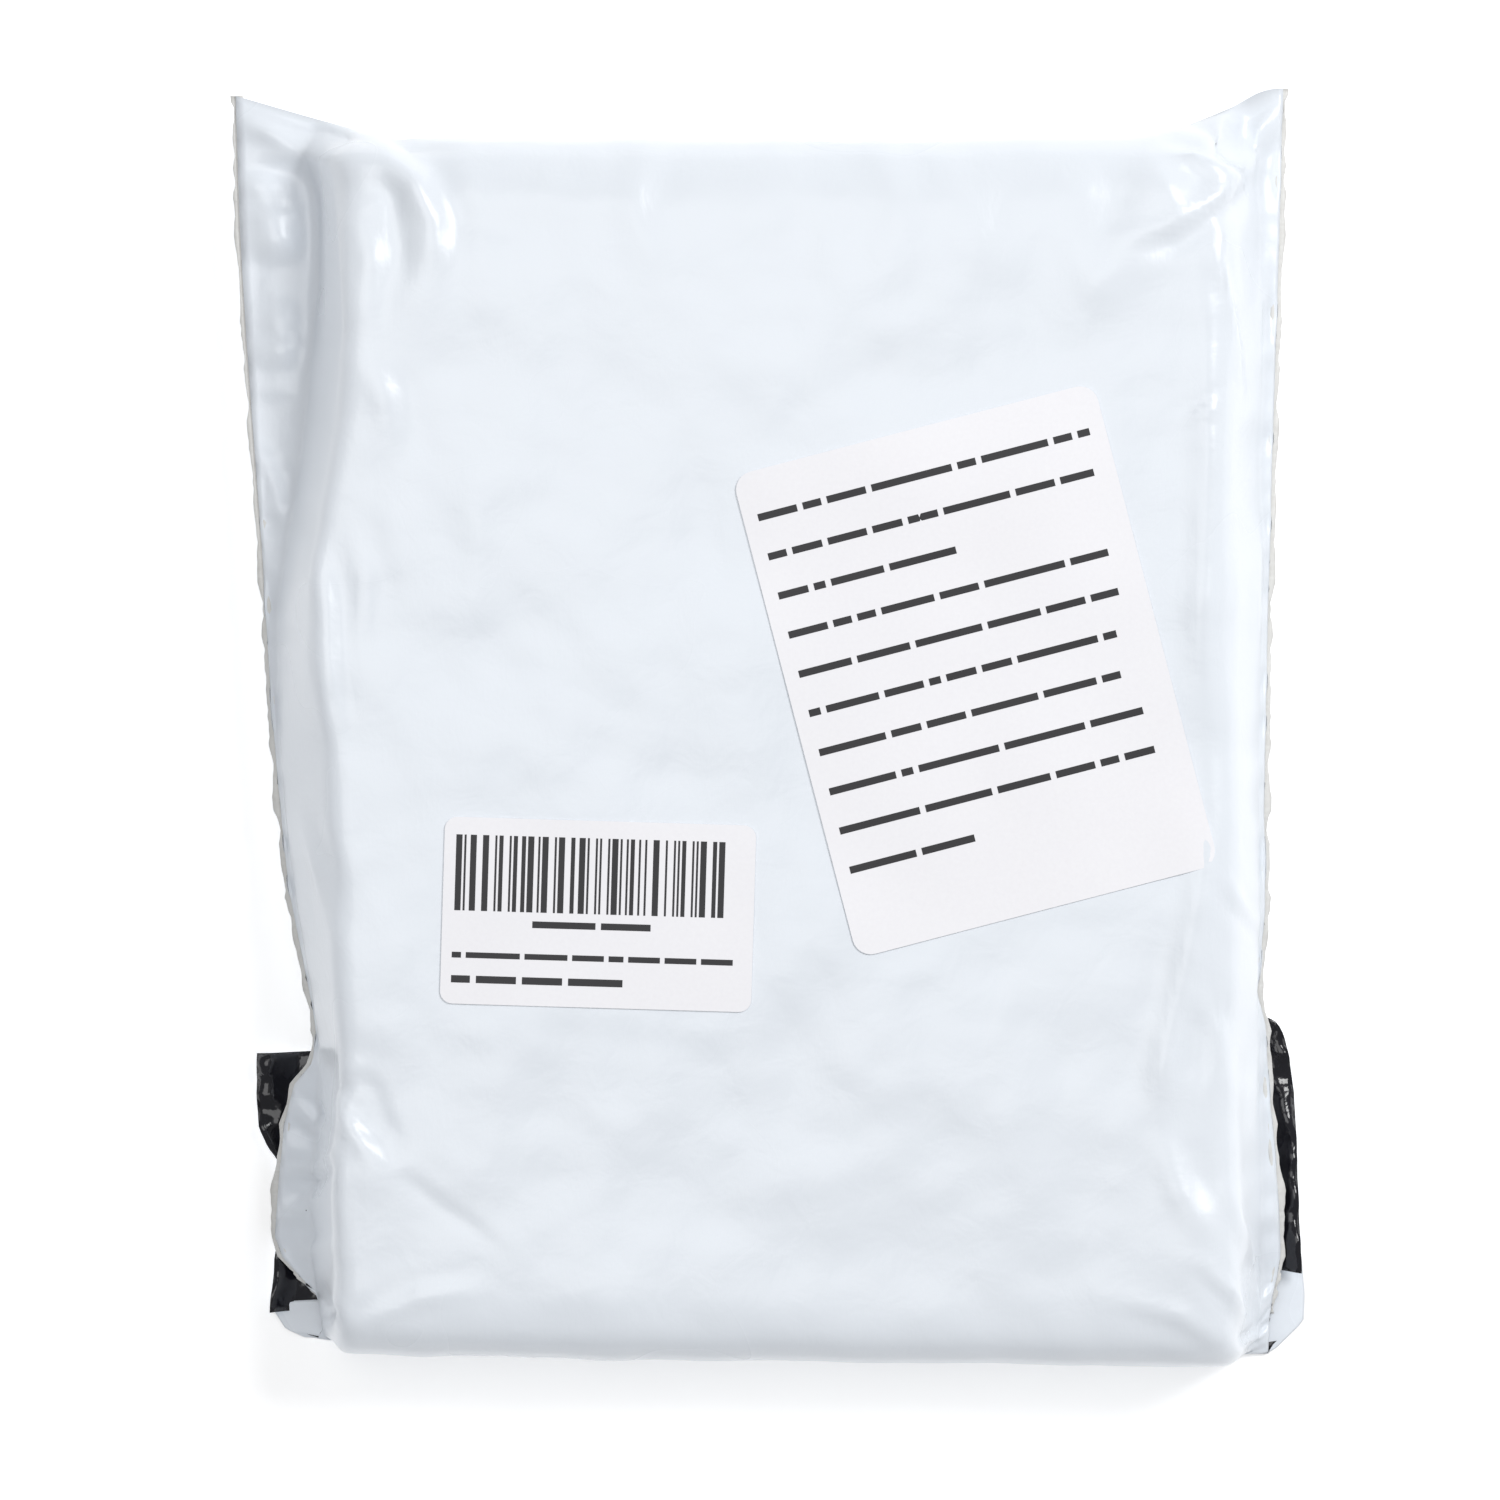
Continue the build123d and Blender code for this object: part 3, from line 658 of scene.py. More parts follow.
# %% Front and back sheets
FILM = 0.18  # thickness of one sheet
front_sheet = grid_object("front_film", front_rows)
dress(front_sheet, "white_film", WHITE, BLACK)
thicken(front_sheet, FILM, inner=1)
back_sheet = grid_object("back_film", back_rows, flip=True)
dress(back_sheet, "white_film", WHITE, BLACK)
thicken(back_sheet, FILM, inner=1)
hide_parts("mailer_front_film", "tail_front_film")
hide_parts("mailer_back_film", "tail_back_film")
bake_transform(front_sheet)
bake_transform(back_sheet)
for made, under in ((front_sheet, "outer_bag_front"), (back_sheet, "closing_flap_film")):
    report(made)


# %% [markdown]
# ## Side welds
# The sheets of a poly mailer are welded and cut in one stroke of a hot knife. It leaves a narrow
# ribbed strip, duller and yellower than the film, with a slightly torn edge. Each strip follows the
# edge of the front sheet.

# %% Weld strips
def weld_strip(name, node_name, column_at, sign, last_row):
    edge = front[:last_row, column_at]
    rng = np.random.RandomState(11)
    torn = np.convolve(rng.normal(0, 0.35, last_row + 6), np.ones(3) / 3, "same")[:last_row]
    rows = []
    for k, out in enumerate(np.linspace(-1.1, 0.75, 5)):
        p = edge.copy()
        p[:, 0] += sign * (out + (torn if k == 4 else 0.0))
        p[:, 2] += -0.5 + 0.12 * math.sin(k * 1.7)
        rows.append(p)
    made = grid_object(name, np.stack(rows, 1), flip=sign > 0)
    dress(made, "white_film", WELD)
    thicken(made, 0.2)
    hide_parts(node_name)
    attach(made, "mailer")
    report(made)


weld_strip("left_weld", "left_side_weld", 0, -1, ROWS - 16)
weld_strip("right_weld", "right_side_weld", COLUMNS, 1, ROWS - 14)


# %% [markdown]
# ## Closing flap
# The flap is one sheet beyond the mouth, turned under with the end and glued to the back. Only its
# two corners show, black side up. A free corner of thin film curls a little, and its gloss breaks
# up into small bright streaks.

# %% Flap
FLAP_REACH = 42.4  # with the part under the mouth line
GLUE_INSET, GLUE_WIDTH = 12.0, 20.0
FLAP_LEFT = beside("closing_flap", 0, 0, [
    (2.68, -1.8), (2.88, 2.2), (3.48, 8.2), (4.68, 17.2), (4.08, 22.8), (2.48, 24.6), (0.68, 28.6),
    (0.28, 33.2), (0.38, 40.6),
])
FLAP_RIGHT = beside("closing_flap", 1, 0, [
    (0.29, 4.6), (0.09, 9.2), (-0.21, 17.2), (-0.41, 25.6), (-0.81, 34.4), (-1.51, 39.6), (-2.41, 43.6),
    (-3.71, 45.8), (-5.81, 46.6),
])


def flap_grid(rows=40, columns=120):
    left = spaced(FLAP_LEFT, rows + 1, 1)
    right = spaced(FLAP_RIGHT, rows + 1, 1)
    points = np.zeros((rows + 1, columns + 1, 3))
    share = np.linspace(0, 1, columns + 1)
    share = 0.5 + 0.5 * np.sign(share - 0.5) * np.abs(2 * share - 1) ** 0.7
    near_left = np.clip(1 - share / 0.04, 0, 1)
    near_right = np.clip(1 - (1 - share) / 0.04, 0, 1)
    for j in range(rows + 1):
        t = j / rows
        points[j, :, 0] = left[j, 0] + (right[j, 0] - left[j, 0]) * share
        straight = mouth_line(points[j, :, 0]) - 1.6 + t * FLAP_REACH
        points[j, :, 1] = straight + (left[j, 1] - straight[0]) * near_left
        points[j, :, 1] += (right[j, 1] - straight[-1]) * near_right
    points[..., 2] = 0.3 + 0.3 * smooth_step(0, 0.1, np.linspace(0, 1, rows + 1))[:, None]
    outside = np.maximum(-77.0 - points[..., 0], points[..., 0] - 80.0)
    curl = smooth_step(0, 6, outside)
    points[..., 2] += curl * (1.6 + 2.4 * lumps(points, 7.5, 5.5) + 1.1 * lumps(points, 2.8, 1.5))
    points[..., 2] = np.maximum(points[..., 2], 0.3)
    return points


flap = grid_object("closing_flap_film", flap_grid(), flip=True)
dress(flap, "black_film", BLACK, WHITE)
thicken(flap, FILM, inner=1)
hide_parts("closing_flap")
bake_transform(flap)
report(flap)


# %% Adhesive strip
glue_low, glue_high = node_box("adhesive_strip")


def glue_grid(rows=14, columns=90):
    x = np.linspace(glue_low[0], glue_high[0], columns + 1)
    points = np.zeros((rows + 1, columns + 1, 3))
    points[..., 0] = x
    for j in range(rows + 1):
        points[j, :, 1] = mouth_line(x) + GLUE_INSET + GLUE_WIDTH * j / rows
    points[..., 2] = 0.74
    points[..., 2] += 0.04 * lumps(points, 5.0, 8.8)
    return points


def glue_finish():
    made, tree, shader = material("clear_adhesive", IOR=1.47, Transmission_Weight=0.25)
    streak = grain(tree, 0.5, 3.0, stretch=(0.08, 1.0, 1.0))
    colour = blend_colour(tree, streak, (0.55, 0.52, 0.42, 1), (0.72, 0.69, 0.58, 1))
    feed(shader, Base_Color=colour, Roughness=0.2 + 0.25 * streak, Normal=bump(tree, streak, 0.1, 0.6))
    return made


glue = grid_object("glue_strip", glue_grid(), flip=True)
dress(glue, "clear_adhesive", glue_finish())
thicken(glue, 0.1)
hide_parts("adhesive_strip")
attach(glue, "closing_flap")
report(glue)


# %% [markdown]
# ## Stickers
# Each sticker is thin paper that follows the film, so it is laid on the film's own height, smoothed
# as paper would smooth it, and the film under it loses its smaller swells. Its print is greeked: rows of
# short dashes stand for words.

# %% Paper and ink finishes
def paper_finish():
    made, tree, shader = material("label_paper", IOR=1.45)
    fibre = grain(tree, 1.6, 4.0)
    cloud = grain(tree, 0.05, 2.0)
    colour = blend_colour(tree, fibre, (0.905, 0.895, 0.925, 1), (0.955, 0.95, 0.975, 1))
    feed(shader, Base_Color=colour, Roughness=0.45 + 0.12 * cloud, Normal=bump(tree, fibre, 0.03, 0.5))
    return made


def ink_finish():
    made, tree, shader = material("printing_ink", IOR=1.45)
    speckle = grain(tree, 6.0, 2.0)
    colour = blend_colour(tree, speckle, (0.012, 0.012, 0.014, 1), (0.035, 0.034, 0.038, 1))
    feed(shader, Base_Color=colour, Roughness=0.4 + 0.2 * speckle)
    return made


PAPER, INK = paper_finish(), ink_finish()
tree_points = front[: ROWS - 8].reshape(-1, 3)
film_tree = BVHTree.FromPolygons([tuple(p) for p in tree_points], grid_faces(ROWS - 8, COLUMNS + 1))


PACK_TOP = 26.9


def film_height(x, y):
    hit = film_tree.ray_cast(Vector((x, y, 60)), Vector((0, 0, -1)))[0]
    return hit.z if hit else PACK_TOP


# %% Sticker sheet
def rounded_outline(width, height, radius, steps=6):
    out = []
    for cx, cy, start in ((1, 1, 0), (-1, 1, 90), (-1, -1, 180), (1, -1, 270)):
        for k in range(steps + 1):
            a = math.radians(start + 90 * k / steps)
            x = cx * (width / 2 - radius) + radius * math.cos(a)
            y = cy * (height / 2 - radius) + radius * math.sin(a)
            out.append((x, y))
    return out


def height_map(name, width, height, turn, pitch=2.0):
    """Heights of the paper over the film on a square grid in the sticker's own frame."""
    centre, right, up = label_frame(name, turn)
    u = np.arange(-width / 2 - pitch, width / 2 + 2 * pitch, pitch)
    v = np.arange(-height / 2 - pitch, height / 2 + 2 * pitch, pitch)
    z = np.array([[film_height(*(centre[:2] + right * a + up * b)) for a in u] for b in v])
    for _ in range(3):
        padded = np.pad(z, 1, mode="edge")
        z = (padded[:-2, 1:-1] + padded[2:, 1:-1] + padded[1:-1, :-2] + padded[1:-1, 2:] + 4 * z) / 8
    return u, v, z


def laid_on(maps, name, turn, flat, lift):
    """Puts flat points of a sticker's frame on the paper."""
    u, v, z = maps
    centre, right, up = label_frame(name, turn)
    out = []
    for a, b in flat:
        i = int(np.clip((a - u[0]) / (u[1] - u[0]), 0, len(u) - 2))
        j = int(np.clip((b - v[0]) / (v[1] - v[0]), 0, len(v) - 2))
        s, t = (a - u[i]) / (u[1] - u[0]), (b - v[j]) / (v[1] - v[0])
        low = z[j, i] * (1 - s) + z[j, i + 1] * s
        high = z[j + 1, i] * (1 - s) + z[j + 1, i + 1] * s
        xy = centre[:2] + right * a + up * b
        out.append((xy[0], xy[1], low * (1 - t) + high * t + lift))
    return out


def sticker(name, node_name, width, height, turn, radius):
    """A rounded sheet cut from a grid, laid on the film."""
    maps = height_map(node_name, width, height, turn)
    cut = bmesh.new()
    outline = [cut.verts.new((a, b, 0)) for a, b in rounded_outline(width, height, radius)]
    cut.faces.new(outline)
    for axis, half in ((0, width / 2), (1, height / 2)):
        for place_at in np.arange(-half + 2.5, half - 1.0, 2.5):
            point, normal = [0, 0, 0], [0, 0, 0]
            point[axis], normal[axis] = place_at, 1
            parts = cut.verts[:] + cut.edges[:] + cut.faces[:]
            bmesh.ops.bisect_plane(cut, geom=parts, plane_co=point, plane_no=normal)
    cut.verts.ensure_lookup_table()
    cut.verts.index_update()
    flat = [(v.co.x, v.co.y) for v in cut.verts]
    faces = [tuple(v.index for v in f.verts) for f in cut.faces]
    cut.free()
    made = new_mesh(name, laid_on(maps, node_name, turn, flat, 0.3), faces)
    dress(made, "label_paper", PAPER)
    thicken(made, 0.12)
    pick(made)
    bpy.ops.object.shade_smooth_by_angle(angle=math.radians(35))
    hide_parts(node_name)
    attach(made, "mailer")
    report(made)
    return maps


def print_marks(name, maps, node_name, turn, marks):
    """Marks are (left, bottom, width, height) in a sticker's frame."""
    vertices, faces = [], []
    for a, b, w, h in marks:
        steps = max(1, int(max(w, h) / 2.5))
        for k in range(steps):
            if w >= h:
                a0, a1, b0, b1 = a + w * k / steps, a + w * (k + 1) / steps, b, b + h
            else:
                a0, a1, b0, b1 = a, a + w, b + h * k / steps, b + h * (k + 1) / steps
            first = len(vertices)
            vertices += laid_on(maps, node_name, turn, [(a0, b0), (a1, b0), (a1, b1), (a0, b1)], 0.32)
            faces.append((first, first + 1, first + 2, first + 3))
    made = new_mesh(name, vertices, faces)
    dress(made, "label_paper", INK, smooth=False)
    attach(made, "mailer")
    report(made)


# %% Greeked lines and bars
def greeked_line(rng, left, base, length, size):
    """A line of plain dashes, each as long as a word."""
    marks, x = [], left
    while x < left + length - size:
        wide = min(size * float(rng.choice([1.0, 1.6, 2.6, 3.4, 4.6, 5.8, 7.0])), left + length - x)
        marks.append((x, base, wide, size * 0.62))
        x += wide + size * 0.5
    return marks


rng = np.random.RandomState(7)
small, large = LABEL_SPOTS
small_maps = sticker("small_sticker", *small, 2.0)
large_maps = sticker("large_sticker", *large, 3.0)

bars, x = [], -23.1
while x < 20.2:
    wide = float(rng.choice([0.33, 0.33, 0.66, 0.99]))
    bars.append((x, 0.0, wide, 12.2))
    x += wide + float(rng.choice([0.33, 0.33, 0.66, 0.99]))
bars += greeked_line(rng, -10.5, -2.5, 19.0, 1.75)
bars += greeked_line(rng, -23.3, -7.6, 45.6, 1.5)
bars += greeked_line(rng, -23.3, -11.6, 29.5, 1.9)
print_marks("small_sticker_print", small_maps, small[0], small[3], bars)

lines = []
for k, length in enumerate((56, 55, 33, 54, 54, 52, 51, 53, 54, 23)):
    lines += greeked_line(rng, -27.6, 40.0 - 8.1 - 6.5 * k, length - 1.0, 1.9)
print_marks("large_sticker_print", large_maps, large[0], large[3], lines)


# %% [markdown]
# ## The folded bag
# The changing bag is a bag in a bag: black taffeta outside, silver coated cloth inside. It is
# pleated four deep over its width and folded once over its length. It could be dropped and pressed
# as simulated cloth, which was not tried here. It is drawn instead: each sheet follows two short
# routes, one over the pleats and one round the last fold.

# %% Cloth finishes
def weave(tree, across):
    """A fine over-and-under weave from two waves at right angles, across threads to the millimetre."""
    threads = []
    for stretch in ((1, 0, 0), (0, 1, 0)):
        inputs = {"Vector": place(tree, stretch), "Scale": across * 0.314, "Distortion": 0.25}
        settings = {"wave_type": "BANDS", "bands_direction": "DIAGONAL"}
        threads.append(node(tree, "ShaderNodeTexWave", settings, inputs, 1))
    return threads[0] * 0.5 + threads[1] * 0.5


def cloth_finish(name, dark, light, rough, metal=0.0, sheen=0.3, threads=3.0, wrinkle=0.35):
    """dark and light are the two ends of its colour, as red, green and blue."""
    made, tree, shader = material(name, Sheen_Weight=sheen, Metallic=metal)
    pattern = weave(tree, threads)
    cloud = grain(tree, 0.04, 3.0)
    creases = grain(tree, 0.09, 4.0, distortion=1.2)
    colour = blend_colour(tree, (pattern * 0.6 + cloud * 0.5).clamp(), (*dark, 1), (*light, 1))
    height = pattern * 0.12 + creases * wrinkle
    feed(shader, Base_Color=colour, Roughness=rough + 0.15 * cloud, Normal=bump(tree, height, 0.6, 0.5))
    return made


TAFFETA = cloth_finish("black_taffeta", (0.006, 0.006, 0.007), (0.022, 0.022, 0.025), 0.4, sheen=0.4)
SILVER = cloth_finish(
    "silver_lining", (0.36, 0.37, 0.38), (0.6, 0.61, 0.63), 0.32, metal=0.75, sheen=0.0
)
BINDING = cloth_finish("binding_tape", (0.006, 0.006, 0.006), (0.03, 0.03, 0.03), 0.7, threads=1.6)
ZIP_TAPE = cloth_finish("zip_tape", (0.006, 0.006, 0.006), (0.024, 0.024, 0.026), 0.75, threads=1.8)
ELASTIC = cloth_finish(
    "elastic_web", (0.01, 0.01, 0.01), (0.06, 0.06, 0.06), 0.8, threads=1.0, wrinkle=0.15
)


# %% Routes of the folds
bag_low, bag_high = node_box("outer_bag_front_panel")
PACK_X, PLEATS, PITCH, HALF_RUN = 2.0, 4, 2.4, 1.1
RUN_HALF = (bag_high[0] - PACK_X) - PITCH / 2 - HALF_RUN + 0.01
MIDDLE = (bag_low[2] + bag_high[2]) / 2
BEND_Y = bag_high[1] - (MIDDLE - bag_low[2])
LEG_END, BAG_END, INNER_END = bag_low[1], bag_low[1] + 3.0, bag_low[1] + 20.0
OUTER_LAYER, INNER_LAYER, CLOTH = 0.975, 0.625, 0.2
print("runs reach", round(RUN_HALF, 2), "mm each side; the last fold is at y =", round(float(BEND_Y), 2))


def run_height(k):
    return bag_low[2] + HALF_RUN + k * PITCH


def face_up(k):
    return 1 if (PLEATS - 1 - k) % 2 == 0 else -1


def pleat_route(n, extra=(), along=18, round_steps=8):
    """Points in x and z over the pleats, n in front of the bag's middle. extra adds columns."""
    out = []
    shares = sorted(set(np.linspace(-1, 1, along + 1)) | set(extra))
    for k in range(PLEATS):
        side = 1 if k % 2 == 0 else -1
        z = run_height(k) + face_up(k) * n
        for t in shares:
            out.append((PACK_X + side * RUN_HALF * t, z))
        if k < PLEATS - 1:
            radius = PITCH / 2 - face_up(k) * n
            for a in np.linspace(0, math.pi, round_steps + 1)[1:-1]:
                x = PACK_X + side * (RUN_HALF + radius * math.sin(a))
                out.append((x, z + radius * (1 - math.cos(a))))
    return np.array(out)


def fold_stations(start, end, steps=6.0, fine=()):
    """Rows: ('low', y) on the lower leg, ('turn', angle) round the last fold, ('up', y) on the upper."""
    low = list(np.linspace(start, BEND_Y, max(2, int((BEND_Y - start) / steps)) + 1))
    low = sorted(set(low) | {y for y in fine if start < y < BEND_Y})
    stations = [("low", y) for y in low]
    stations += [("turn", a) for a in np.linspace(0, math.pi, 15)[1:-1]]
    if end is not None:
        stations += [("up", y) for y in np.linspace(BEND_Y, end, int((BEND_Y - end) / steps) + 1)]
    return stations


def carried(x, z, station):
    """A point of the pleat section at a station of the last fold."""
    kind, value = station
    reach = MIDDLE - z
    if kind == "low":
        return x, value, z
    if kind == "turn":
        return x, BEND_Y + reach * math.sin(value), MIDDLE - reach * math.cos(value)
    return x, value, 2 * MIDDLE - z


def pleated_sheet(n, start, end, closed=False, fine=(), extra=()):
    """A panel on both routes. A closed one starts in front, goes round the end and up the back."""
    rows = []
    if closed:
        front_route, back_route = pleat_route(n), pleat_route(-n)
        for y in (start + 2.0, start + 1.0, start + 0.25):
            rows.append([(x, y, z) for x, z in front_route])
        for t in (0.15, 0.5, 0.85):
            rows.append([(x, start + 0.12, z) for x, z in front_route + (back_route - front_route) * t])
        route, first = back_route, start + 0.25
    else:
        route, first = pleat_route(n, extra), start
    for station in fold_stations(first, end, fine=fine):
        rows.append([carried(x, z, station) for x, z in route])
    return np.array(rows)


def finish_sheet(
    name, points, slot_name, finish, node_name, thick=CLOTH
):
    made = grid_object(name, points, flip=True)
    dress(made, slot_name, finish)
    thicken(made, thick, offset=0.0)
    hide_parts(node_name)
    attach(made, "mailer")
    report(made)


# %% Panels of the two bags
INNER_ZIP_Y, OUTER_ZIP_Y = INNER_END + 7.3, BAG_END + 7.3
around_bump = [INNER_ZIP_Y + d for d in (-4.6, -4.2, -3.8, -3.2, 0.0, 3.2, 3.8, 4.2, 4.6)]
bump_ends = [(1.0 - d) / RUN_HALF for d in (-66.5, -66.0, -65.6, 65.6, 66.0, 66.5)]
outer_front = pleated_sheet(OUTER_LAYER, OUTER_ZIP_Y + 5.3, LEG_END, fine=around_bump, extra=bump_ends)
on_top_run = np.abs(outer_front[..., 2] - (run_height(3) + OUTER_LAYER)) < 0.05
on_top_run &= outer_front[..., 1] < 0
off_x = np.abs(outer_front[..., 0] - (PACK_X - 1.0)) - 65.6
off_y = np.abs(outer_front[..., 1] - INNER_ZIP_Y) - 3.7
rise = 2.43 * (1 - smooth_step(0, 0.9, np.maximum(off_x, off_y)))
outer_front[..., 2] += np.where(on_top_run, rise, 0)
outer_back = pleated_sheet(OUTER_LAYER, BAG_END, LEG_END, closed=True)
inner_front = pleated_sheet(INNER_LAYER, INNER_ZIP_Y + 5.3, LEG_END)
inner_back = pleated_sheet(INNER_LAYER, INNER_END, LEG_END, closed=True)
PANELS = [  # name, points, slot, finish, flat length in metres, what it lies on
    ("outer_bag_front", outer_front, "black_taffeta", TAFFETA, 0.350, "back_film"),
    ("outer_bag_back", outer_back, "black_taffeta", TAFFETA, 0.367, "inner_bag_back"),
    ("inner_bag_front", inner_front, "silver_lining", SILVER, 0.333, "outer_bag_front"),
    ("inner_bag_back", inner_back, "silver_lining", SILVER, 0.349, "inner_bag_front"),
]
for name, points, slot_name, finish, length, under in PANELS:
    finish_sheet(name, points, slot_name, finish, name + "_panel")


# %% [markdown]
# Zip tapes lie in line with the cloth that they are sewn to. Binding is a narrow tape folded over a
# seam, so its section is a U, and it follows the seam round the last fold.

# %% Zip tapes and bindings
def tape_sheet(n, start, width=4.0):
    route = pleat_route(n)
    return np.array([[(x, y, z) for x, z in route] for y in np.linspace(start, start + width, 4)])


for name, n, zip_y in (("outer", OUTER_LAYER, OUTER_ZIP_Y), ("inner", INNER_LAYER, INNER_ZIP_Y)):
    for half, start in (("front", zip_y + 1.3), ("back", zip_y - 5.3)):
        node_name = f"{name}_zip_{half}_tape"
        finish_sheet(node_name + "_cloth", tape_sheet(n, start), "zip_tape", ZIP_TAPE, node_name)

U_SECTION = [(0.25, 1.02), (-0.1, 1.0), (-0.25, 0.8), (-0.28, 0.3)]
U_SECTION += [(x, -z) for x, z in reversed(U_SECTION)]


def side_binding(name, node_name, k):
    """Binding round the free end of run k, both of which lie on the left."""
    x = PACK_X - RUN_HALF - 0.3
    stations = fold_stations(BAG_END, LEG_END)
    rows = [[carried(x + a, run_height(k) + b, s) for a, b in U_SECTION] for s in stations]
    finish_sheet(name, np.array(rows), "binding_tape", BINDING, node_name, thick=0.12)


side_binding("left_binding", "left_side_binding", 0)
side_binding("right_binding", "right_side_binding", 3)
shoulder = []
for k in (1, 2):
    z = 2 * MIDDLE - run_height(k)
    for x in np.linspace(PACK_X - RUN_HALF, PACK_X + RUN_HALF, 60):
        shoulder.append([(x, LEG_END - 0.3 + a, z + b) for a, b in U_SECTION])
shoulder = np.array(shoulder)
first_half = grid_faces(60, len(U_SECTION))
faces = first_half + [tuple(i + 60 * len(U_SECTION) for i in f) for f in first_half]
shoulder_tape = new_mesh("shoulder_tape", shoulder.reshape(-1, 3), faces)
dress(shoulder_tape, "binding_tape", BINDING)
thicken(shoulder_tape, 0.12, offset=0.0)
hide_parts("shoulder_binding")
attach(shoulder_tape, "mailer")
report(shoulder_tape)


# %% [markdown]
# ## Sleeves and cuffs
# Each sleeve is a tube in a tube, pressed flat, turned back at the shoulder and laid in the last
# fold. Its cuff is a hem with an elastic band inside, gathered into small folds.

# %% Sleeve tubes
CUFF_START = 46.0  # y where each sleeve ends and its cuff begins


def flat_section(width, height, steps=6, across=24):
    """A tube pressed flat, as points in x and height round it."""
    half, r = width / 2 - height / 2, height / 2
    out = [(x, r) for x in np.linspace(half, -half, across + 1)]
    out += [(-half - r * math.sin(a), r * math.cos(a)) for a in np.linspace(0, math.pi, steps + 1)[1:-1]]
    out += [(x, -r) for x in np.linspace(-half, half, across + 1)]
    out += [(half + r * math.sin(a), -r * math.cos(a)) for a in np.linspace(0, math.pi, steps + 1)[1:-1]]
    return out + out[:1]


def sleeve_path(start, rest, turn_y, end_y):
    """Points and normals in y and z: from the shoulder, round the turn, back into the fold."""
    radius = (start - rest) / 2
    out = [((y, start), (0.0, 1.0)) for y in np.linspace(LEG_END, turn_y, 3)]
    for a in np.linspace(0, math.pi, 13)[1:-1]:
        s, c = math.sin(a), math.cos(a)
        out.append(((turn_y - radius * s, start - radius + radius * c), (-s, c)))
    out += [((y, rest), (0.0, -1.0)) for y in np.linspace(turn_y, end_y, 24)]
    return out


def sleeve(name, node_name, width, height, start, rest, turn_y, slot_name, finish, on):
    section = flat_section(width, height)
    rows = []
    for (y, z), (ny, nz) in sleeve_path(start, rest, turn_y, CUFF_START):
        rows.append([(PACK_X + u, y + v * ny, z + v * nz) for u, v in section])
    length = LEG_END - turn_y + math.pi * (start - rest) / 2 + CUFF_START - turn_y
    flat = (2 * width * MM, length * MM)
    finish_sheet(name, np.array(rows), slot_name, finish, node_name)


SLEEVES = {
    "left": (18.1, 16.25, LEG_END - 1.0, "right_sleeve_taffeta"),
    "right": (25.3, 14.85, LEG_END - 2.2, "outer_bag_front"),
}
for side, (*path, under) in SLEEVES.items():
    outer, inner = f"{side}_sleeve_taffeta", f"{side}_sleeve_lining"
    sleeve(outer, f"{side}_outer_sleeve", 131.75, 1.05, *path, "black_taffeta", TAFFETA, under)
    sleeve(inner, f"{side}_inner_sleeve", 131.05, 0.35, *path, "silver_lining", SILVER, outer)


def cuff(name, node_name, size, level, y_low, thick, slot_name, finish, ripple):
    width, height, length = size
    section = flat_section(width, height, 8, 80)
    rows = []
    for j, y in enumerate(np.linspace(y_low, y_low + length, 15)):
        near = math.sin(math.pi * j / 14)
        gather = [1 + ripple * near * math.sin(u * 1.25 + math.sin(u * 0.4)) for u, v in section]
        rows.append([(PACK_X + u, y, level + v * g) for (u, v), g in zip(section, gather)])
    finish_sheet(name, np.array(rows), slot_name, finish, node_name, thick)


HEM, BAND = (99.7, 2.6, 20.0), (98.4, 1.3, 16.0)  # width, height and length
for side, level, under in (("left", 15.45, "right_cuff_cloth"), ("right", 12.45, "outer_bag_front")):
    hem, hem_node = f"{side}_cuff_cloth", f"{side}_cuff_hem"
    cuff(hem, hem_node, HEM, level, CUFF_START, CLOTH, "black_taffeta", TAFFETA, 0.05)
    band, band_node = f"{side}_cuff_band", f"{side}_cuff_elastic"
    cuff(band, band_node, BAND, level, CUFF_START + 2.0, 0.8, "elastic_web", ELASTIC, 0.03)


# %% [markdown]
# ## Zips
# The teeth, stops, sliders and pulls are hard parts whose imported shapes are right. They keep those
# shapes and get the finish of moulded nylon and of plated metal with fine scratches.

# %% Zip finishes
def nylon_finish():
    made, tree, shader = material("nylon_teeth", IOR=1.53)
    inputs = {"Vector": place(tree, (1, 0, 0)), "Scale": 0.42}
    ridge = node(tree, "ShaderNodeTexWave", {"wave_type": "BANDS", "bands_direction": "X"}, inputs, 1)
    wear = grain(tree, 0.8, 3.0)
    colour = blend_colour(tree, ridge, (0.004, 0.004, 0.004, 1), (0.03, 0.03, 0.032, 1))
    feed(shader, Base_Color=colour, Roughness=0.35 + 0.2 * wear, Normal=bump(tree, ridge, 0.4, 1.0))
    return made


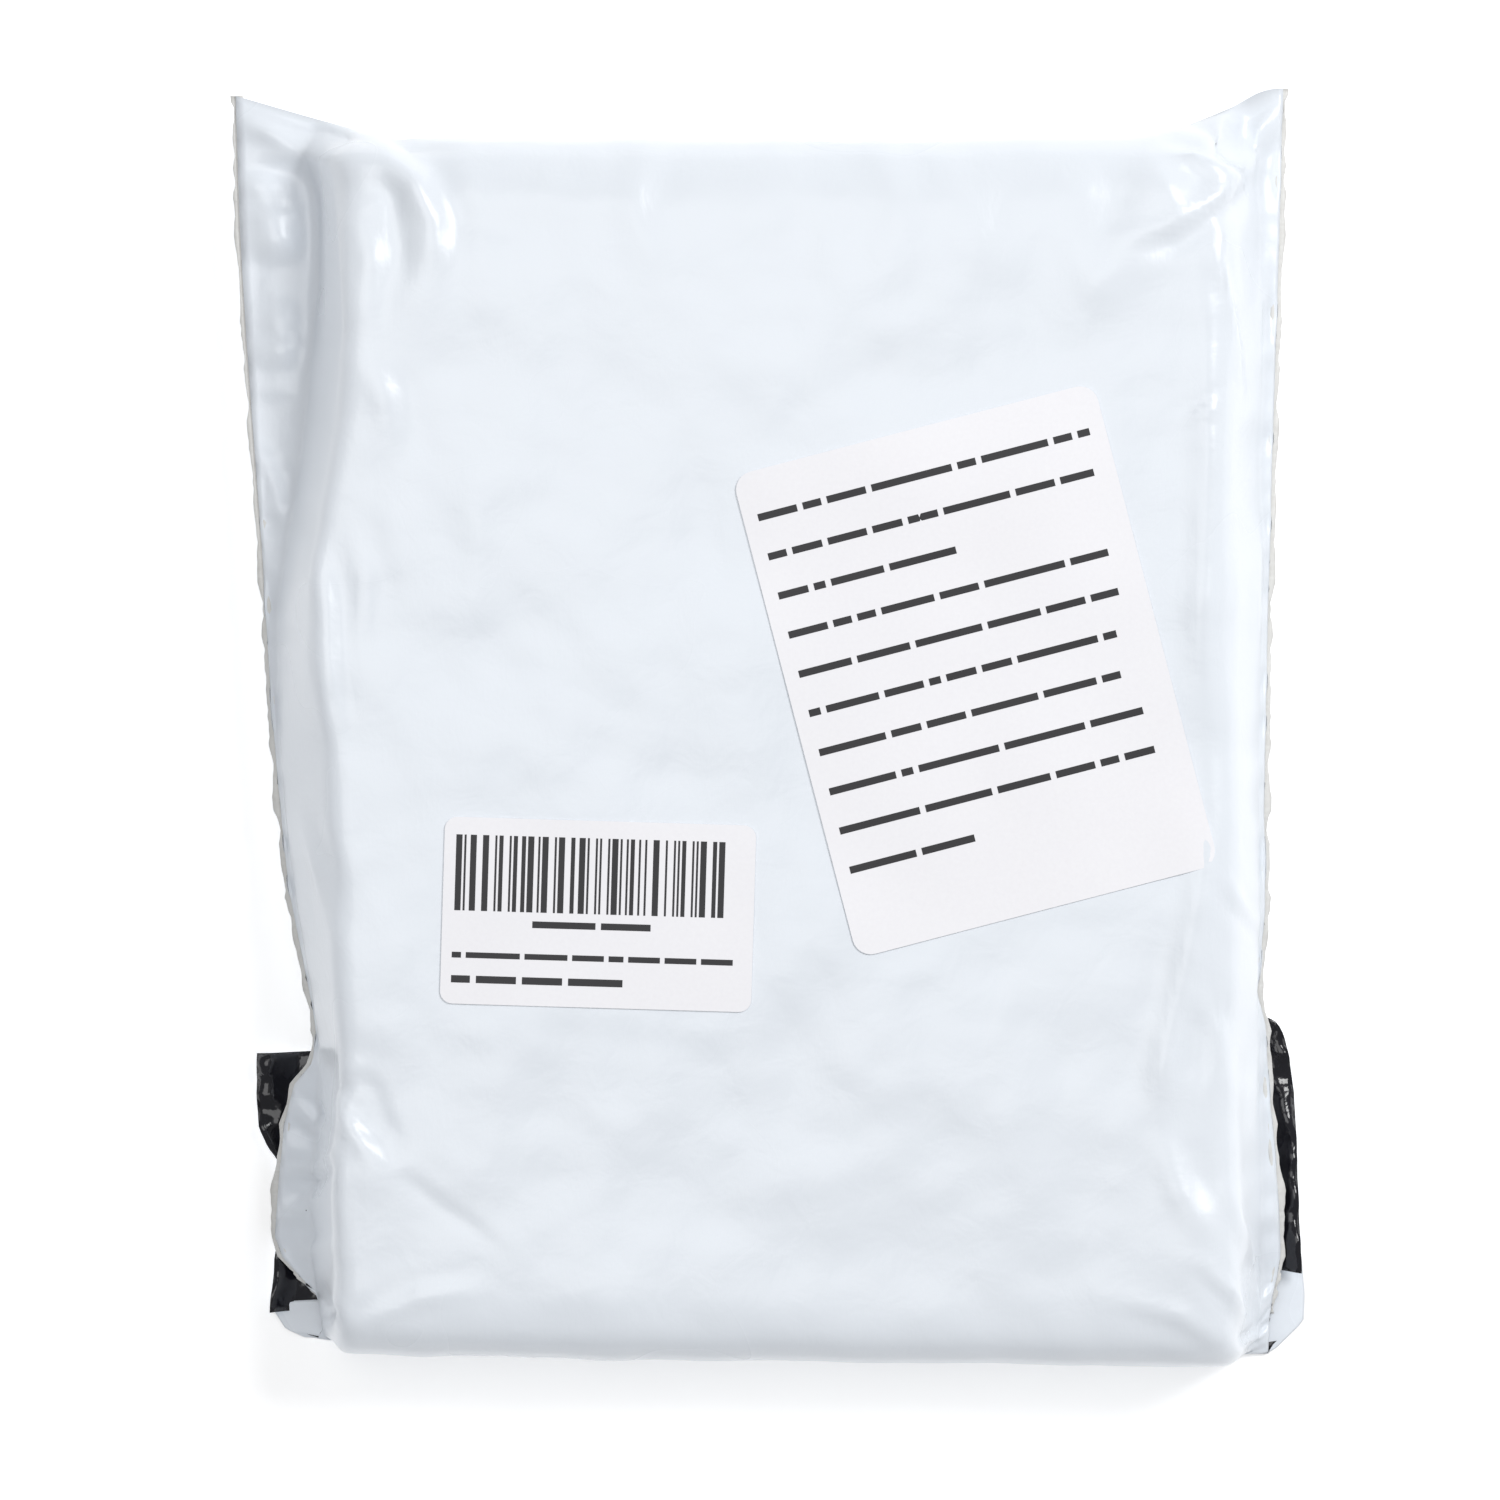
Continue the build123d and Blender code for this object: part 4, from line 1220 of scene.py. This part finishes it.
def metal_finish():
    made, tree, shader = material("zip_metal", Metallic=1.0)
    scratch = grain(tree, 2.0, 4.0, stretch=(0.15, 1.0, 1.0))
    tarnish = grain(tree, 0.3, 3.0)
    colour = blend_colour(tree, tarnish, (0.42, 0.42, 0.43, 1), (0.62, 0.61, 0.6, 1))
    normal = bump(tree, scratch, 0.05, 0.5)
    feed(shader, Base_Color=colour, Roughness=0.22 + 0.25 * scratch, Normal=normal)
    return made


NYLON, METAL = nylon_finish(), metal_finish()
for name in ("outer", "inner"):
    for part, finish in (("teeth", NYLON), ("stops", METAL), ("slider", METAL), ("pull", METAL)):
        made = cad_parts[f"{name}_zip_{part}"]
        made.data.materials.clear()
        made.data.materials.append(finish)


# %% Floor, lights and camera
def area_light(name, place_at, size, power):
    light = bpy.data.lights.new(name, "AREA")
    light.shape, light.size, light.energy = "DISK", size, power
    made = bpy.data.objects.new(name, light)
    bpy.context.scene.collection.objects.link(made)
    made.location = place_at
    made.rotation_euler = (Vector((0, 0, 0)) - Vector(place_at)).to_track_quat("-Z", "Y").to_euler()


bpy.ops.object.select_all(action="DESELECT")
bpy.ops.mesh.primitive_plane_add(size=6, location=(0, 0, -0.0002))
floor = bpy.context.object
floor.name = "floor"
floor_finish, _, floor_shader = material("floor_paper", Roughness=0.9)
floor_shader.inputs["Base Color"].default_value = (0.93, 0.93, 0.93, 1)
floor_shader.inputs["Emission Color"].default_value = (1, 1, 1, 1)
floor_shader.inputs["Emission Strength"].default_value = 0.38
floor.data.materials.append(floor_finish)

area_light("key", (0.8, 0.62, 1.2), 0.6, 12.3)
area_light("fill", (-0.25, 0.2, 1.5), 1.0, 6.1)
world = bpy.data.worlds.new("studio")
bpy.context.scene.world = world
world.use_nodes = True
world.node_tree.nodes["Background"].inputs["Color"].default_value = (0.97, 0.98, 1.0, 1)
world.node_tree.nodes["Background"].inputs["Strength"].default_value = 0.345
bpy.context.scene.view_settings.view_transform = "Standard"

lens = bpy.data.cameras.new("camera")
camera = bpy.data.objects.new("camera", lens)
bpy.context.scene.collection.objects.link(camera)
bpy.context.scene.camera = camera
lens.lens, lens.sensor_width, lens.clip_end = 200.0, 36.0, 50.0
view_width, view_level = 243.9, 11.0
camera.location = (-3.2 * MM, -5.0 * MM, (view_width / 36.0 * lens.lens + view_level) * MM)
print("camera height, metres:", round(camera.location.z, 3))
